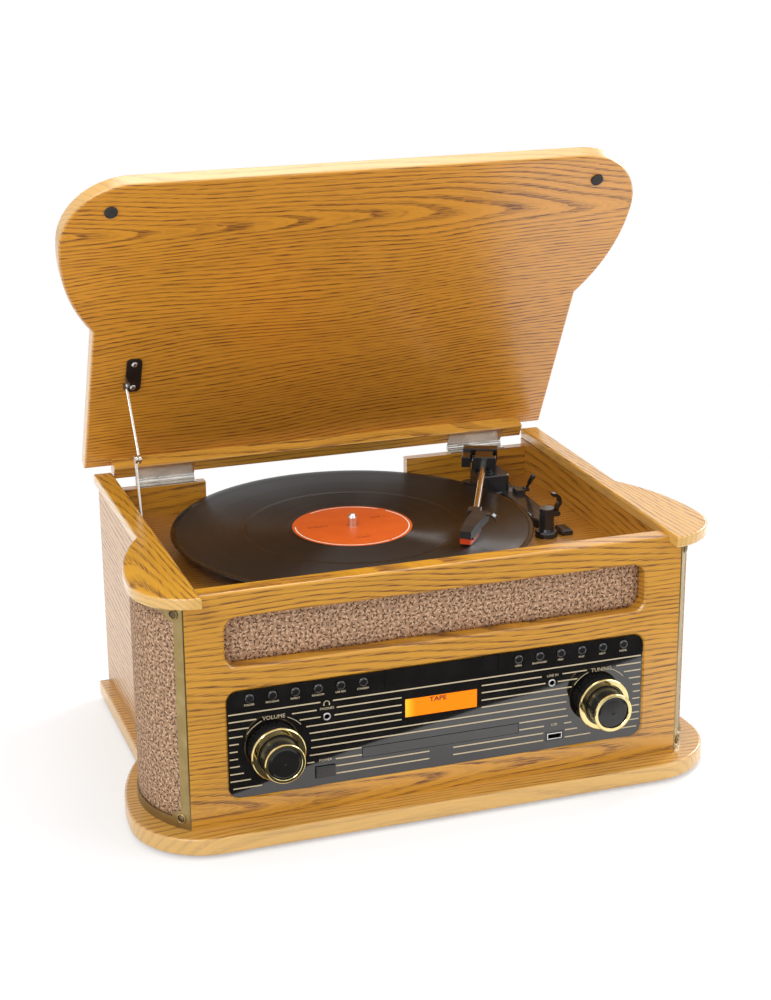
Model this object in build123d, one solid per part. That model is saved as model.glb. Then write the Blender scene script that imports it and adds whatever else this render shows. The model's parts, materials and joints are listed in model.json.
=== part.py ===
from build123d import *
import os
from math import acos, atan2, cos, degrees, hypot, radians, sin, sqrt

# Wooden record player with curved speaker pods, a hinged lid, a radio facia and a disc drawer.
# Lengths are in millimetres. The pieces are made with x across the front, y measured back from
# the face of the front panel and z up from the floor. The lid is made closed and then opened.
# save_all() moves the origin to the middle of the footprint, on the floor.

# Plinth and feet
foot_h = 3.0
foot_r = 10.0
foot_in = 34.0            # from the box's sides and ends to a foot's centre
plinth_t = 14.0
plinth_side = 8.4         # plinth past the box's sides
plinth_front = 20.0       # plinth in front of the front panel
plinth_wide = 38.0        # widest reach of the plinth's ears past the box
plinth_corner_r = 60.0
plinth_flare_r = 190.0

# Box
box_past_record = 51.7    # side walls' outer faces past the record's radius, which leaves room for the arm
box_depth = 303.0         # front panel's face to the walls' back edge
box_height = 182.7        # plinth to the side caps
wall_t = 12.0
panel_t = 16.0
panel_short = 1.0         # front panel is this much short of the box at each end
panel_rise = 5.8          # front panel's top above the caps' underside
window_edge = 1.6         # bevel round the panel's windows
edge_r = 2.0              # rounding of the boards' edges
back_t = 9.0
back_in = 1.5             # back panel set in from the walls' back edge
wing_drop = 5.2           # back panel's top below the caps' underside
gap_left = -110.3         # gap in the back panel that a large record reaches through
gap_right = 75.5
deck_t = 6.0
deck_drop = 32.7          # deck's top below the caps' underside

# Side caps
cap_t = 9.0
cap_side = 3.7
cap_front = 14.0
cap_wide = 32.1
cap_corner_r = 47.0
cap_flare_r = 190.0
cap_edge = 1.5

# Windows in the front panel
window_half = 171.1
cloth_low = 144.4
cloth_high = 184.6
cloth_corner = 11.0
cloth_in = 12.0           # cloth behind the panel's face
cloth_t = 1.0
facia_low = 37.3
facia_high = 125.2
facia_corner = 9.0
facia_in = 1.0
facia_t = 3.0
strip_h = 14.7            # glossy strip that holds the push buttons
strip_rise = 0.6
strip_break = 46.5        # half the blank block between the two button strips
groove = 1.2

# Speaker pods at the front corners
pod_chord = 118.0         # length of a pod along the box's side
pod_rise = 26.0           # its greatest reach past the box
frame_t = 1.2
pod_cloth_t = 1.0
pod_glue_t = 0.1          # between the cloth and the curved layers on either side of it
pod_shell_t = 5.0
frame_band = 8.0
frame_front = 5.6         # front strip of the metal frame, seen from the side
frame_back = 4.4
frame_lug_r = 6.5
speaker_r = 39.0
speaker_depth = 40.0
speaker_hole = 34.5

# Lid and its hinges
lid_t = 13.5
lid_gap = 2.0             # closed lid above the caps
lid_front = 8.0
lid_back_in = 8.0          # lid's rear edge in front of the box's back
lid_side = 9.8
lid_wide = 41.0
lid_corner_r = 56.0
lid_flare_r = 150.0
lid_open = 62.0           # degrees between the closed lid and the open lid
batten_h = 12.0
batten_t = 12.5
batten_in = 4.5           # batten's rear face in front of the box's back
batten_gap = 1.5          # batten short of the side caps at each end
hinge_back = 2.0          # hinge axis behind the back panel
hinge_in = 46.5           # hinges' middles from the side walls
hinge_len = 52.0
hinge_knuckles = 5
knuckle_r = 2.2
leaf_t = 1.0
leaf_in = 1.0             # leaves' free edges inside the boards that they lie on
pin_r = 1.2
run_gap = 0.05            # radial clearance of a pin in its eye
clear = 0.3               # clearance between pieces that move past each other
bumper_r = 5.3
bumper_out = 1.4          # bumpers' centres outside the box's sides
bumper_y = 17.0

# Folding lid stay on the left
stay_lid_front = 109.5    # pivot on the lid in front of the hinges, with the lid closed
stay_lid_drop = 8.0       # that pivot below the lid's underside
stay_wall_front = 102.5   # pivot on the side wall in front of the hinges
stay_wall_up = 15.0       # that pivot above the deck
stay_upper = 65.1
stay_lower = 64.8
stay_rod_r = 1.7
stay_eye_r = 3.6
stay_eye_t = 1.6
stay_plate_w = 13.0
stay_plate_len = 36.0
stay_plate_back = 13.0    # end of the lid plate behind its pivot
stay_plate_t = 1.5
stay_foot_w = 16.0
stay_from_wall = 3.2      # lower arm's eye from the side wall
stay_arm_gap = 1.4        # between the two arms' eyes
rivet_r = 2.4
rivet_t = 1.0

# Turntable
platter_x = -16.7
record_front = 2.0        # record behind the front panel
platter_r = 100.0
platter_up = 3.6          # platter's lower rim above the deck
platter_h = 8.8
platter_web = 3.0
hub_r = 14.0
drive_ring_r = 70.0
rim_t = 3.0
mat_t = 2.0
mat_r = 97.0
record_r = 150.8
record_t = 1.8
record_dip = 0.2          # grooves below the label and the rim
label_r = 52.0
groove_r = 146.0
spindle_r = 3.5
spindle_seat = 0.165      # thicker below the record's top, so that the record sits without play
axle_r = 4.5              # the platter's axle in its bearing
spindle_up = 11.0         # spindle above the record
bush_wall = 3.5
bush_flange = 4.0
bush_flange_t = 1.5
bush_h = 14.0
belt_t = 1.0
belt_h = 4.0
pulley_r = 6.0
pulley_away = 84.0        # pulley's axis from the platter's axis
pulley_turn = 235.0       # its direction from the platter, in degrees
motor_r = 17.0
motor_h = 22.0
motor_shaft_r = 1.5
motor_shaft_len = 12.0

# Tonearm
arm_clear = 22.0          # swing axis outside the record's edge
arm_back = 39.7           # swing axis in front of the back panel
arm_up = 31.0             # lift pivot above the deck
arm_swing = -24.55        # the arm's direction in the photo pose, in degrees from straight forward
tube_r = 3.0
tube_start = 13.0
tube_end = 128.4
tube_fall = 3.0           # tube's front end below its rear end
fork_half = 8.0
fork_t = 2.5
fork_eye_r = 5.0
pivot_r = 4.0
pivot_h = 2.2
turret_t = 2.0
collar_len = 11.0
head_turn = 13.5          # headshell's angle to the tube
head_len = 44.0
head_side = 4.6           # headshell's rear to the right of the tube's line
head_depth = 8.0          # cartridge's underside below the tube's line
cartridge_w = 9.2
cartridge_front = 7.0     # cartridge short of the headshell's front end
cartridge_back = 14.0
stylus_gap = 0.2
plate_up = 8.2            # arm plate's height
plate_w = 42.0
plate_d = 46.0
plate_corner = 8.0
plate_right = 5.0
strip_w = 18.0            # the plate's long strip beside the record
strip_right = 17.0
strip_short = 25.0        # strip's rounded end behind the rest post
housing_w = 27.0
housing_d = 31.0
housing_corner = 4.0
housing_right = 3.0
housing_front = 5.8
housing_up = 23.4         # arm housing's top above the deck
rest_clear = 13.1         # rest post's axis outside the record's edge
rest_lag = 42.06          # degrees round the platter from the swing axis to the post
rest_r = 6.2
rest_foot_r = 9.5
rest_foot_h = 5.0
clip_r = 6.1              # middle radius of the clip's hook
clip_t = 2.7
clip_w = 5.0
clip_eye_r = 2.2
cue_front = 28.8          # cue lever's axis in front of the swing axis
cue_right = 26.0          # cue block's right face from the swing axis
cue_block_w = 8.0
cue_block_d = 11.0
cue_block_h = 3.5
cue_len = 23.6
cue_lean = 42.0
speed_right = 17.0        # speed lever from the rest post
speed_back = 2.5
speed_w = 10.0
speed_len = 16.0
speed_h = 5.0

# Facia pieces
knob_in = 36.9            # knobs from the window's ends
knob_z = 73.2
skirt_r = 20.0
skirt_front = 8.0         # ribbed skirt's front, in front of the panel's face
step_r = 21.6
step_front = 9.8
nose_r = 15.2
nose_ring_r = 16.0
nose_front = 26.6
ring_t = 1.8
ring_wall = 3.0
knob_ribs = 36
rib_depth = 0.9
shaft_r = 3.0
button_r = 3.7
button_end = 17.4         # first and last buttons from the ends of their strip
button_z = 118.7
button_out = 1.9
button_travel = 1.2
button_flange = 1.2
hole_gap = 0.4
power_in = 39.2           # power button from the volume knob
power_z = 48.5
power_w = 15.8
power_h = 9.2
display_half = 29.7
display_z = 90.7
display_h = 15.3
drawer_half = 64.7
drawer_z = 59.2
drawer_h = 8.0
drawer_depth = 165.0
tray_t = 5.0
disc_r = 60.5
disc_sink = 2.6
loader_roof = 12.0        # space over the drawer inside the loader
loader_wall = 2.4
loader_open_half = 30.0   # opening under the disc, each way from the disc's middle
loader_open_back = 50.0
loader_bridge = 8.0       # half the bridge that carries the disc's hub
jack_r = 1.8
jack_wall = 1.4
jack_in = 41.2            # sockets from the knobs
jack_z = 94.0
jack_len = 14.0
usb_in = 38.2             # USB port from the tuning knob
usb_z = 47.8
usb_w = 12.5
usb_h = 5.1
usb_rim = 1.8
usb_len = 14.0
usb_tongue_in = 2.0        # the contact tongue starts this far behind the facia's face
usb_tongue_t = 1.8
board_gap = 5.0           # circuit board behind the facia
board_t = 1.6
stud_r = 1.6
power_board_w = 36.0
power_board_in = 22.0     # power board's left end from the power button
amp_w = 75.0
amp_d = 90.0
amp_in = 25.0             # amplifier board from the right side wall
amp_back = 12.5           # amplifier board and transformer in front of the back panel
amp_up = 6.0
amp_leg_r = 2.5
amp_leg_in = 6.0
core_w = 50.0
core_d = 40.0
core_h = 42.0
core_in = 30.0            # transformer from the left side wall
winding_w = 34.0
winding_d = 58.0
winding_h = 28.0

# Sockets on the back
terminal_in = 46.5        # plate's left end from the outer face of the left side wall
terminal_z = 49.0
terminal_w = 106.0
terminal_h = 34.0
terminal_t = 1.5
inlet_left = 33.0         # mains inlet's middle left of the plate's middle
inlet_w = 28.0
inlet_h = 18.0
inlet_wall = 3.0
inlet_out = 5.0
line_out_right = (23.0, 41.0)   # line sockets right of the plate's middle
line_out_r = 4.15
line_out_len = 9.0
line_out_bore = 1.6
line_out_base_t = 2.0

# Heights and places that follow from the sizes above
plinth_top = foot_h + plinth_t
cap_under = plinth_top + box_height
cap_top = cap_under + cap_t
box_half = record_r + box_past_record
panel_half = box_half - panel_short
panel_top = cap_under + panel_rise
inner_half = box_half - wall_t
terminal_x = terminal_in + terminal_w / 2 - box_half
inlet_x = terminal_x - inlet_left
line_out_x = [terminal_x + right for right in line_out_right]
back_rear = box_depth - back_in
back_face = back_rear - back_t
wing_top = cap_under - wing_drop
deck_top = cap_under - deck_drop
deck_under = deck_top - deck_t
lid_under = cap_top + lid_gap
batten_under = lid_under - batten_h
batten_half = inner_half - batten_gap
batten_back = box_depth - batten_in
batten_front = batten_back - batten_t
lid_back = box_depth - lid_back_in
bumper_x = box_half + bumper_out
speaker_y = pod_chord / 2
speaker_z = (plinth_top + cap_under) / 2
hinge_x = inner_half - hinge_in
hinge_y = back_rear + hinge_back
hinge_z = (wing_top + batten_under) / 2
stay_lid_y = hinge_y - stay_lid_front
stay_wall_y = hinge_y - stay_wall_front
stay_wall_z = deck_top + stay_wall_up
stay_lower_x = -inner_half + stay_from_wall + stay_eye_t / 2
stay_upper_x = stay_lower_x + stay_eye_t + stay_arm_gap
platter_low = deck_top + platter_up
platter_top = platter_low + platter_h
record_low = platter_top + mat_t
record_top = record_low + record_t
platter_y = panel_t + record_front + record_r
arm_reach = record_r + arm_clear
arm_y = back_face - arm_back
arm_x = platter_x + sqrt(arm_reach ** 2 - (arm_y - platter_y) ** 2)
rest_turn = atan2(arm_y - platter_y, arm_x - platter_x) - radians(rest_lag)
rest_x = platter_x + (record_r + rest_clear) * cos(rest_turn)
rest_y = platter_y + (record_r + rest_clear) * sin(rest_turn)
cue_y = arm_y - cue_front
speed_x = rest_x + speed_right
speed_y = rest_y + speed_back
arm_z = deck_top + arm_up
housing_top = deck_top + housing_up
collar_end = tube_end + collar_len
tube_front_z = arm_z - tube_fall
knob_x = window_half - knob_in
jack_x = knob_x - jack_in
usb_x = knob_x - usb_in
power_x = power_in - knob_x
button_first = strip_break + button_end
button_pitch = (window_half - button_end - button_first) / 5
facia_back = facia_in + facia_t
strip_y = facia_in - strip_rise
board_y = facia_back + board_gap
drawer_low = drawer_z - drawer_h / 2
drawer_high = drawer_z + drawer_h / 2

pieces = {}


def box(x0, x1, y0, y1, z0, z1):
    """A block between two corners."""
    return Pos((x0 + x1) / 2, (y0 + y1) / 2, (z0 + z1) / 2) * Box(x1 - x0, y1 - y0, z1 - z0)


def bevelled(x0, x1, y0, y1, z0, z1, bevel):
    """A block between two corners, with its top edges bevelled."""
    block = box(x0, x1, y0, y1, z0, z1)
    return chamfer(block.faces().sort_by(Axis.Z)[-1].edges(), bevel)


def post(x, y, z0, z1, r):
    """An upright cylinder."""
    return Pos(x, y, (z0 + z1) / 2) * Cylinder(r, z1 - z0)


def rod_x(x0, x1, y, z, r):
    """A cylinder along x."""
    return Pos((x0 + x1) / 2, y, z) * Rot(0, 90, 0) * Cylinder(r, x1 - x0)


def rod_y(x, y0, y1, z, r):
    """A cylinder along y."""
    return Pos(x, (y0 + y1) / 2, z) * Rot(90, 0, 0) * Cylinder(r, y1 - y0)


def turned(points, x=0, y=0):
    """A solid turned round z, from the radii and heights of its outline."""
    outline = make_face(Polyline(*points, close=True))
    return Pos(x, y, 0) * revolve(Plane.XZ * outline, Axis.Z)


def both(piece):
    """The piece and its mirror image across the middle of the cabinet."""
    return [piece, mirror(piece, Plane.YZ)]


def keep(name, *solids):
    """Remember the solids of one named piece."""
    group = []
    for solid in solids:
        group += solid.solids()
    pieces[name] = group


def eared_plan(side, wide, corner_r, flare_r, front, back):
    """Right half of a board's plan: straight at the back, swelling to a rounded front ear."""
    y_wide = corner_r - front
    turn = acos(1 - (wide - side) / flare_r)
    notch = (side, y_wide + flare_r * sin(turn))
    flare_mid = (wide - flare_r + flare_r * cos(turn / 2), y_wide + flare_r * sin(turn / 2))
    corner_mid = (wide - corner_r + corner_r * cos(radians(45)), y_wide - corner_r * sin(radians(45)))
    outline = Polyline((0, -front), (0, back), (side, back), notch)
    outline += ThreePointArc(notch, flare_mid, (wide, y_wide))
    outline += ThreePointArc((wide, y_wide), corner_mid, (wide - corner_r, -front))
    outline += Line((wide - corner_r, -front), (0, -front))
    return make_face(outline)


def rounded_rims(board, r):
    """A flat board with its top and bottom edges rounded."""
    rims = board.faces().sort_by(Axis.Z)
    return fillet(rims[0].edges() + rims[-1].edges(), r)


def eared_board(plan, z0, thickness):
    """A full-width board from the right half of its plan, with rounded edges."""
    half = Pos(0, 0, z0) * extrude(plan, thickness)
    return rounded_rims(half + mirror(half, Plane.YZ), edge_r)


def window_fill(half, low, high, y0, y1, corner):
    """A block with rounded corners that fills a window of the front panel."""
    profile = RectangleRounded(2 * half, high - low, corner)
    return Pos(0, y1, (low + high) / 2) * Rot(90, 0, 0) * extrude(profile, y1 - y0)


def opened(piece):
    """A piece of the closed lid, turned to where the open lid stands."""
    return piece.rotate(Axis((0, hinge_y, hinge_z), (1, 0, 0)), -lid_open)


def make_plinth():
    plan = eared_plan(box_half + plinth_side, box_half + plinth_wide, plinth_corner_r, plinth_flare_r,
                      plinth_front, box_depth)
    keep("plinth_board", eared_board(plan, foot_h, plinth_t))
    feet = []
    for y in (foot_in, box_depth - foot_in):
        foot = post(box_half - foot_in, y, 0, foot_h, foot_r)
        feet += both(chamfer(foot.faces().sort_by(Axis.Z)[0].edges(), foot_h / 4))
    keep("rubber_feet", *feet)


def make_walls():
    wall = box(inner_half, box_half, panel_t, box_depth, plinth_top, cap_under)
    wall -= rod_x(inner_half - 1, box_half + 1, speaker_y, speaker_z, speaker_hole)
    keep("side_walls", *both(wall))
    plan = eared_plan(box_half + cap_side, box_half + cap_wide, cap_corner_r, cap_flare_r, cap_front,
                      box_depth)
    outer = box(inner_half, 2 * box_half, -box_depth, 2 * box_depth, cap_under, cap_top)
    cap = Pos(0, 0, cap_under) * extrude(plan, cap_t) & outer
    keep("side_caps", *both(rounded_rims(cap, cap_edge)))


def make_front():
    panel = box(-panel_half, panel_half, 0, panel_t, plinth_top, panel_top)
    for notch in both(box(inner_half, box_half, -1, panel_t + 1, cap_under, panel_top + 1)):
        panel -= notch
    panel = fillet(panel.edges().filter_by(Axis.X).group_by(Axis.Z)[-1], edge_r)
    cloth_back = cloth_in + cloth_t
    panel -= window_fill(window_half, cloth_low, cloth_high, -1, cloth_back, cloth_corner)
    panel -= window_fill(window_half, facia_low, facia_high, -1, panel_t + 1, facia_corner)
    face = panel.faces().filter_by(Axis.Y).sort_by(Axis.Y)[0]
    rims = [edge for wire in face.inner_wires() for edge in wire.edges()]
    keep("front_panel", chamfer(rims, window_edge))
    keep("front_cloth", window_fill(window_half, cloth_low, cloth_high, cloth_in, cloth_back, cloth_corner))


def make_back():
    panel = box(-inner_half, inner_half, back_face, back_rear, plinth_top, wing_top)
    panel -= box(gap_left, gap_right, back_face - 1, back_rear + 1, deck_top, wing_top + 1)
    keep("back_panel", panel)
    face = back_rear + terminal_t
    plate = box(terminal_x - terminal_w / 2, terminal_x + terminal_w / 2, back_rear, face,
                terminal_z - terminal_h / 2, terminal_z + terminal_h / 2)
    plate = fillet(plate.edges().filter_by(Axis.Y), 3)
    inlet = box(inlet_x - inlet_w / 2, inlet_x + inlet_w / 2, face, face + inlet_out,
                terminal_z - inlet_h / 2, terminal_z + inlet_h / 2)
    plate += fillet(inlet.edges().filter_by(Axis.Y), 3)
    mouth_w = inlet_w / 2 - inlet_wall
    mouth_h = inlet_h / 2 - inlet_wall
    plate -= box(inlet_x - mouth_w, inlet_x + mouth_w, back_rear + 0.5, face + inlet_out + 1,
                 terminal_z - mouth_h, terminal_z + mouth_h)
    for x in (inlet_x - mouth_w / 2, inlet_x + mouth_w / 2):
        plate += rod_y(x, back_rear, face + inlet_out - 1, terminal_z, 1.2)
    for x in line_out_x:
        plate += rod_y(x, face, face + line_out_base_t, terminal_z, line_out_r + line_out_base_t)
        plate += rod_y(x, face, face + line_out_len, terminal_z, line_out_r)
        plate -= rod_y(x, face, face + line_out_len + 1, terminal_z, line_out_bore)
    keep("rear_terminal_panel", plate)


def pod_layer(outer, inner):
    """The layer of a pod between two depths inside its face, from the plinth to the cap."""
    pod_r = (pod_chord ** 2 / 4 + pod_rise ** 2) / (2 * pod_rise)
    middle = Pos(box_half + pod_rise - pod_r, pod_chord / 2)
    ring = middle * (Circle(pod_r - outer) - Circle(pod_r - inner))
    layer = Pos(0, 0, plinth_top) * extrude(ring, box_height)
    layer &= box(panel_half, box_half + pod_rise, 0, pod_chord + pod_rise, plinth_top, cap_under)
    return layer - box(0, box_half, panel_t, box_depth, plinth_top, cap_under)


def make_pods():
    shell_out = frame_t + pod_cloth_t
    shell = pod_layer(shell_out, shell_out + pod_shell_t)
    shell -= rod_x(box_half + pod_rise / 3, 2 * box_half, speaker_y, speaker_z, speaker_r)
    keep("pod_shells", *both(shell))
    keep("pod_cloths", *both(pod_layer(frame_t + pod_glue_t, shell_out - pod_glue_t)))
    low = plinth_top + frame_band
    high = cap_under - frame_band
    window = box(inner_half, 2 * box_half, frame_front, pod_chord - frame_back, low, high)
    window = fillet(window.edges().filter_by(Axis.X), frame_lug_r / 2)
    for z in (low, high):
        window -= rod_x(inner_half, 2 * box_half, frame_front, z, frame_lug_r)
    keep("pod_frames", *both(pod_layer(0, frame_t) - window))
    throat = speaker_depth * 0.6
    magnet_r = speaker_r * 0.6
    flange_t = 3
    basket = turned([(0, 0), (speaker_r, 0), (speaker_r, -flange_t), (speaker_hole - 1, -flange_t),
                     (speaker_hole - 4, -throat), (magnet_r, -throat), (magnet_r, -speaker_depth),
                     (0, -speaker_depth)])
    dish = turned([(0, 1), (speaker_r - 3, 1), (speaker_r - 9, -1), (10, -14), (8, -12), (4, -9.5), (0, -9)])
    place = Pos(box_half + flange_t, speaker_y, speaker_z) * Rot(0, 90, 0)
    keep("speakers", *both(place * (basket - dish)))


def make_deck():
    pulley_x = platter_x + pulley_away * cos(radians(pulley_turn))
    pulley_y = platter_y + pulley_away * sin(radians(pulley_turn))
    bush_r = axle_r + bush_wall
    deck = box(-inner_half, inner_half, panel_t, back_face, deck_under, deck_top)
    deck -= post(platter_x, platter_y, 0, 2 * deck_top, bush_r)
    deck -= post(pulley_x, pulley_y, 0, 2 * deck_top, pulley_r)
    keep("deck_board", deck)
    bore = axle_r + run_gap
    low = deck_top - bush_h
    high = deck_top + bush_flange_t
    bush = [(bore, low), (bush_r, low), (bush_r, deck_top), (bush_r + bush_flange, deck_top),
            (bush_r + bush_flange, high), (bore, high)]
    keep("spindle_bearing", turned(bush, platter_x, platter_y))

    seat_r = spindle_r + spindle_seat
    web = platter_top - platter_web
    tip = record_top + spindle_up
    profile = [(0, low), (axle_r, low), (axle_r, high + clear), (hub_r, high + clear), (hub_r, web),
               (drive_ring_r - rim_t, web), (drive_ring_r - rim_t, platter_low), (drive_ring_r, platter_low),
               (drive_ring_r, web), (platter_r - rim_t, web), (platter_r - rim_t, platter_low),
               (platter_r, platter_low), (platter_r, platter_top - 1), (platter_r - 1, platter_top),
               (seat_r, platter_top), (seat_r, record_top), (spindle_r, record_top),
               (spindle_r, tip - spindle_r), (spindle_r * 0.8, tip - spindle_r * 0.4),
               (spindle_r * 0.4, tip), (0, tip)]
    keep("platter", turned(profile, platter_x, platter_y))
    mat = [(seat_r, platter_top), (mat_r, platter_top), (mat_r, record_low), (seat_r, record_low)]
    keep("platter_mat", turned(mat, platter_x, platter_y))
    low = record_low + record_dip
    high = record_top - record_dip
    record = [(seat_r, record_low), (label_r, record_low), (label_r + 2, low), (groove_r, low),
              (groove_r + 2, record_low), (record_r - 0.6, record_low), (record_r, record_low + record_t / 2),
              (record_r - 0.6, record_top), (groove_r + 2, record_top), (groove_r, high),
              (label_r + 2, high), (label_r, record_top), (seat_r, record_top)]
    keep("vinyl_record", turned(record, platter_x, platter_y))

    belt_z = platter_low + 1
    loops = []
    for grow in (clear, clear + belt_t):
        small = Pos(pulley_away, 0) * Circle(pulley_r + grow)
        loops.append(make_hull(Circle(drive_ring_r + grow).edges() + small.edges()))
    belt = extrude(loops[1] - loops[0], belt_h)
    keep("drive_belt", Pos(platter_x, platter_y, belt_z) * Rot(0, 0, pulley_turn) * belt)
    top = belt_z + belt_h + 0.8
    low = belt_z - 1
    shaft_low = deck_under - motor_shaft_len
    pulley = [(0, shaft_low), (motor_shaft_r, shaft_low), (motor_shaft_r, low), (pulley_r + 1, low),
              (pulley_r, belt_z), (pulley_r, top - 0.6), (pulley_r - 0.6, top), (0, top)]
    keep("motor_pulley", turned(pulley, pulley_x, pulley_y))
    motor = post(pulley_x, pulley_y, deck_under - motor_h, deck_under, motor_r)
    motor = chamfer(motor.faces().sort_by(Axis.Z)[0].edges(), 2)
    motor -= post(pulley_x, pulley_y, shaft_low - clear, deck_top, motor_shaft_r + run_gap)
    keep("drive_motor", motor)


def make_lid():
    plan = eared_plan(box_half + lid_side, box_half + lid_wide, lid_corner_r, lid_flare_r, lid_front,
                      lid_back)
    keep("lid_board", opened(eared_board(plan, lid_under, lid_t)))
    batten = box(-batten_half, batten_half, batten_front, batten_back, batten_under, lid_under)
    batten = chamfer(batten.edges().filter_by(Axis.X).group_by(Axis.Z)[0], edge_r / 4)
    keep("lid_batten", opened(batten))
    bumper = post(bumper_x, bumper_y, cap_top + clear, lid_under, bumper_r)
    bumper = chamfer(bumper.faces().sort_by(Axis.Z)[0].edges(), lid_gap / 4)
    keep("lid_bumpers", *[opened(one) for one in both(bumper)])


def hinge_half(x, upper):
    """One leaf of a butt hinge with its knuckles, with the lid closed."""
    start = x - hinge_len / 2
    end = start + hinge_len
    if upper:
        leaf = box(start, end, batten_front + leaf_in, hinge_y, batten_under - leaf_t, batten_under)
    else:
        leaf = box(start, end, back_face + leaf_in, hinge_y, wing_top, wing_top + leaf_t)
    share = hinge_len / hinge_knuckles
    half_gap = clear / 2
    for i in range(hinge_knuckles):
        near = start + i * share
        far = near + share
        if i % 2 == upper:
            leaf += rod_x(near + half_gap, far - half_gap, hinge_y, hinge_z, knuckle_r)
        else:
            leaf -= rod_x(near - half_gap, far + half_gap, hinge_y, hinge_z, knuckle_r + clear)
    return leaf - rod_x(start - 1, end + 1, hinge_y, hinge_z, pin_r + run_gap)


def make_hinges():
    places = (-hinge_x, hinge_x)
    keep("hinge_lid_leaves", *[opened(hinge_half(x, True)) for x in places])
    fixed = [hinge_half(x, False) for x in places]
    pins = [rod_x(x - hinge_len / 2, x + hinge_len / 2, hinge_y, hinge_z, pin_r) for x in places]
    keep("hinge_fixed_leaves", *fixed, *pins)


def stay_points():
    """Pivots of the lid stay with the lid open: on the lid, at the elbow and on the wall."""
    up = lid_under - stay_lid_drop - hinge_z
    back = stay_lid_y - hinge_y
    swing = radians(lid_open)
    lid = (hinge_y + back * cos(swing) + up * sin(swing), hinge_z - back * sin(swing) + up * cos(swing))
    wall = (stay_wall_y, stay_wall_z)
    span = hypot(lid[0] - wall[0], lid[1] - wall[1])
    along = (stay_lower ** 2 + span ** 2 - stay_upper ** 2) / (2 * span)
    aside = sqrt(max(stay_lower ** 2 - along ** 2, 0))
    dy = (lid[0] - wall[0]) / span
    dz = (lid[1] - wall[1]) / span
    elbow = (wall[0] + along * dy - aside * dz, wall[1] + along * dz + aside * dy)
    return lid, elbow, wall


def stay_arm(x, start, end, bored):
    """A round rod with a flat eye at each end; the eyes named in bored take a pin."""
    length = hypot(end[0] - start[0], end[1] - start[1])
    turn = degrees(atan2(end[1] - start[1], end[0] - start[0]))
    half = stay_eye_t / 2
    arm = rod_y(0, pin_r + run_gap, length - pin_r - run_gap, 0, stay_rod_r)
    arm &= box(-half, half, 0, length, -stay_rod_r, stay_rod_r)
    arm += rod_x(-half, half, 0, 0, stay_eye_r) + rod_x(-half, half, length, 0, stay_eye_r)
    for y in bored:
        arm -= rod_x(-half - 1, half + 1, y * length, 0, pin_r + run_gap)
    return Pos(x, start[0], start[1]) * Rot(turn, 0, 0) * arm


def make_stay():
    lid, elbow, wall = stay_points()
    half = stay_eye_t / 2
    lower = stay_arm(stay_lower_x, wall, elbow, (0,))
    lower += rod_x(stay_lower_x, stay_upper_x - half - clear, *elbow, rivet_r)
    keep("stay_lower_arm", lower)
    upper = stay_arm(stay_upper_x, elbow, lid, (1,))
    upper += rod_x(stay_upper_x + half, stay_upper_x + half + rivet_t, *elbow, rivet_r)
    keep("stay_upper_arm", upper)

    pin_z = lid_under - stay_lid_drop
    ear_x = stay_upper_x + half + clear
    ear_r = stay_plate_w / 2 - 1.5
    plate = box(ear_x, ear_x + stay_plate_w, stay_lid_y + stay_plate_back - stay_plate_len,
                stay_lid_y + stay_plate_back, lid_under - stay_plate_t, lid_under)
    plate = fillet(plate.edges().filter_by(Axis.Z), stay_plate_w / 3)
    ear = box(ear_x, ear_x + stay_plate_t, stay_lid_y - ear_r, stay_lid_y + ear_r, pin_z, lid_under)
    ear += rod_x(ear_x, ear_x + stay_plate_t, stay_lid_y, pin_z, ear_r)
    far = stay_upper_x - half - clear
    pin = rod_x(far - rivet_t, ear_x + stay_plate_t, stay_lid_y, pin_z, pin_r)
    head = rod_x(far - rivet_t, far, stay_lid_y, pin_z, rivet_r)
    keep("stay_lid_bracket", opened(plate + ear + pin + head))

    foot = stay_foot_w / 2
    wall_x = -inner_half
    plate = box(wall_x, wall_x + stay_plate_t, wall[0] - foot, wall[0] + foot, wall[1] - foot, wall[1] + foot)
    plate = fillet(plate.edges().filter_by(Axis.X), foot / 2)
    shoulder = rod_x(wall_x, stay_lower_x - half - clear, *wall, rivet_r + 0.8)
    far = stay_lower_x + half + clear
    head_t = stay_arm_gap / 2
    pin = rod_x(wall_x, far + head_t, *wall, pin_r)
    keep("stay_wall_bracket", plate + shoulder + pin + rod_x(far, far + head_t, *wall, rivet_r))


def placed_arm(piece):
    """A piece made with the arm pointing straight forward from the origin, put in its place."""
    return Pos(arm_x, arm_y, 0) * Rot(0, 0, arm_swing) * piece


def tube_height(along):
    """Height of the tube's middle at a distance in front of the swing axis."""
    return arm_z - tube_fall * (along - tube_start) / (tube_end - tube_start)


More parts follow.
